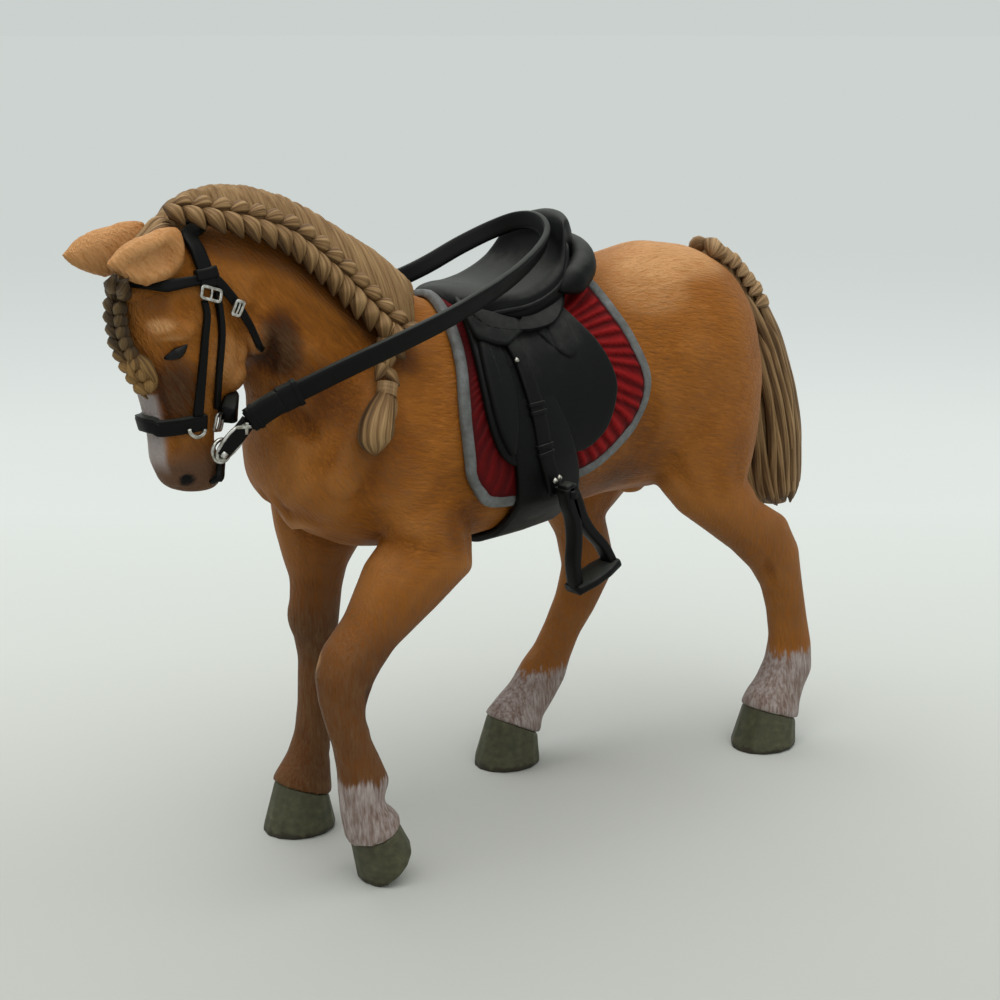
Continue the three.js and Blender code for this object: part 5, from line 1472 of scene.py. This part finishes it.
# The second colour: patches of wear, and a painted highlight where the leather faces up.
BLACK = leather_paint("black_leather", shade(11, 13, 12), shade(66, 67, 64), 0.5)
STRAP = leather_paint("black_strap", shade(10, 11, 10), shade(60, 62, 58), 0.45, 0.02)
RED = cloth_paint()
GREY = binding_paint()
finish(pad, "horse", "pad", RED, "saddle_pad")
finish(pad_binding, "horse", "pad", GREY, "saddle_pad")
finish(flap_left, "horse", "tack", BLACK, "flap_left")
finish(flap_right, "horse", "tack", BLACK, "flap_right")
finish(saddle, "horse", "tack", BLACK, "saddle_seat")
finish(girth_strap, "horse", "tack", BLACK, "girth")


def horn_paint():
    paint = Paint("hoof_horn", roughness=0.55, specular=0.35)
    z = paint.parts(paint.place)[2]
    rings = paint.noise(paint.turned((0, 0, 0), (0.25, 0.25, 1.6)), 1.0, 3.0)
    chips = paint.noise(paint.place, 0.8, 3.0)
    tone = (rings * 0.3 + chips * 0.7).from_to(0.25, 0.9)
    colour = paint.stops(tone, [(0.0, shade(60, 60, 42)), (0.6, shade(82, 81, 58)), (1.0, shade(106, 105, 80))])
    rim = (z + (chips - 0.5) * 2.2).from_to(1.1, 0.4)
    colour = paint.mix(rim * 0.8, colour, shade(44, 38, 28))
    paint.set("Base Color", colour)
    paint.bump(rings * 0.5 + chips * 0.5, 0.1, 0.8)
    return paint.material


def silver_paint():
    paint = Paint("silver_paint", roughness=0.32, metallic=1.0)
    paler_tone = paint.noise(paint.place, 1.4, 3.0)
    paint.set("Base Color", paint.stops(paler_tone.from_to(0.35, 0.7),
                                        [(0.0, shade(150, 146, 136)), (1.0, shade(214, 213, 208))]))
    paint.bump(paler_tone, 0.05, 0.5)
    return paint.material


def eye_paint():
    paint = Paint("eye_black", roughness=0.35, specular=0.25)
    paint.set("Base Color", rgba(shade(8, 7, 7)))
    return paint.material


HORN, SILVER, EYE_PAINT = horn_paint(), silver_paint(), eye_paint()
finish(eyes, "horse", "tack", EYE_PAINT)
finish(flap_studs, "horse", "silver", SILVER)
for node, piece in hooves.items():
    finish(piece, "horse", "hoof", HORN, node)
for node, piece in bridle_straps.items():
    finish(piece, "horse", "tack", STRAP, node)
for node, piece in {**buckles, **bit_rings}.items():
    finish(piece, "horse", "silver", SILVER, node)
for node, piece in hooks.items():
    finish(piece, "reins", "silver", SILVER, node)
finish(rein_strap, "reins", "rein", STRAP, "rein_strap")
for side in ("left", "right"):
    finish(leathers[side], "leather_" + side, "tack", STRAP, "stirrup_leather_" + side)
    finish(leather_studs[side], "leather_" + side, "silver", SILVER)
    finish(irons[side], "iron_" + side, "tack", STRAP, "stirrup_iron_" + side)


# Floor and room -----------------------------------------------------------------

def floor_paint():
    """A pale sweep with painted light, darker towards the front and brightest in a band behind the figure. It ends
    as a plain pale wall.
    """
    paint = Paint("pale_sweep", roughness=0.95, specular=0.05)
    x, y, z = paint.parts(paint.place)
    back = x * -0.632 + y * -0.775
    # Painted light: the floor's colour darkens towards the front and brightens in a band behind the figure.
    near = paint.stops((back / 1000 + 0.2).clamped(), [
        (0.0, shade(186, 188, 182)), (0.17, shade(203, 206, 200)), (0.27, shade(222, 226, 221)),
        (0.38, shade(230, 235, 231)), (0.6, shade(218, 224, 221)), (1.0, shade(205, 211, 208))])
    reach = (x * x + y * y).power(0.5)
    near = paint.mix(reach.from_to(260, 900), near, shade(205, 211, 208))
    paint.set("Base Color", near)
    ray = [paint.node("ShaderNodeLightPath", {}, {}, output=name)
           for name in ("Is Camera Ray", "Is Glossy Ray", "Is Transmission Ray")]
    # Away from the figure, camera and glossy rays see that colour as a glow rather than as lit floor.
    far = reach.from_to(105, 330) * (ray[0] + ray[1] + ray[2]).clamped()
    glow = paint.node("ShaderNodeEmission", {}, {"Color": near, "Strength": 1.0})
    both = paint.node("ShaderNodeMixShader", {}, {0: far, 1: Wire(paint, paint.shader.outputs[0]), 2: glow})
    paint.tree.links.new(both.socket, paint.tree.nodes["Material Output"].inputs["Surface"])
    return paint.material


def add_floor():
    bpy.ops.mesh.primitive_circle_add(vertices=96, radius=12, fill_type="NGON", location=(0, 0, 0))
    floor = bpy.context.object
    floor.name = "floor"
    floor.data.materials.append(floor_paint())


def add_room():
    """An even pale room: it lights the figure softly and is the floor's far colour behind."""
    room = bpy.data.worlds.new("room")
    bpy.context.scene.world = room
    room.use_nodes = True
    tree = room.node_tree
    soft, wall, both, rays = [tree.nodes.new(kind) for kind in (
        "ShaderNodeBackground", "ShaderNodeBackground", "ShaderNodeMixShader", "ShaderNodeLightPath")]
    soft.inputs["Color"].default_value = (*shade(214, 219, 217), 1)
    soft.inputs["Strength"].default_value = 0.45
    wall.inputs["Color"].default_value = (*shade(203, 209, 206), 1)
    seen_by = None
    for name in ("Is Camera Ray", "Is Glossy Ray", "Is Transmission Ray"):
        if seen_by is None:
            seen_by = rays.outputs[name]
            continue
        more = tree.nodes.new("ShaderNodeMath")
        more.operation = "MAXIMUM"
        tree.links.new(seen_by, more.inputs[0])
        tree.links.new(rays.outputs[name], more.inputs[1])
        seen_by = more.outputs[0]
    tree.links.new(seen_by, both.inputs[0])
    tree.links.new(soft.outputs[0], both.inputs[1])
    tree.links.new(wall.outputs[0], both.inputs[2])
    tree.links.new(both.outputs[0], tree.nodes["World Output"].inputs["Surface"])


add_floor()
add_room()
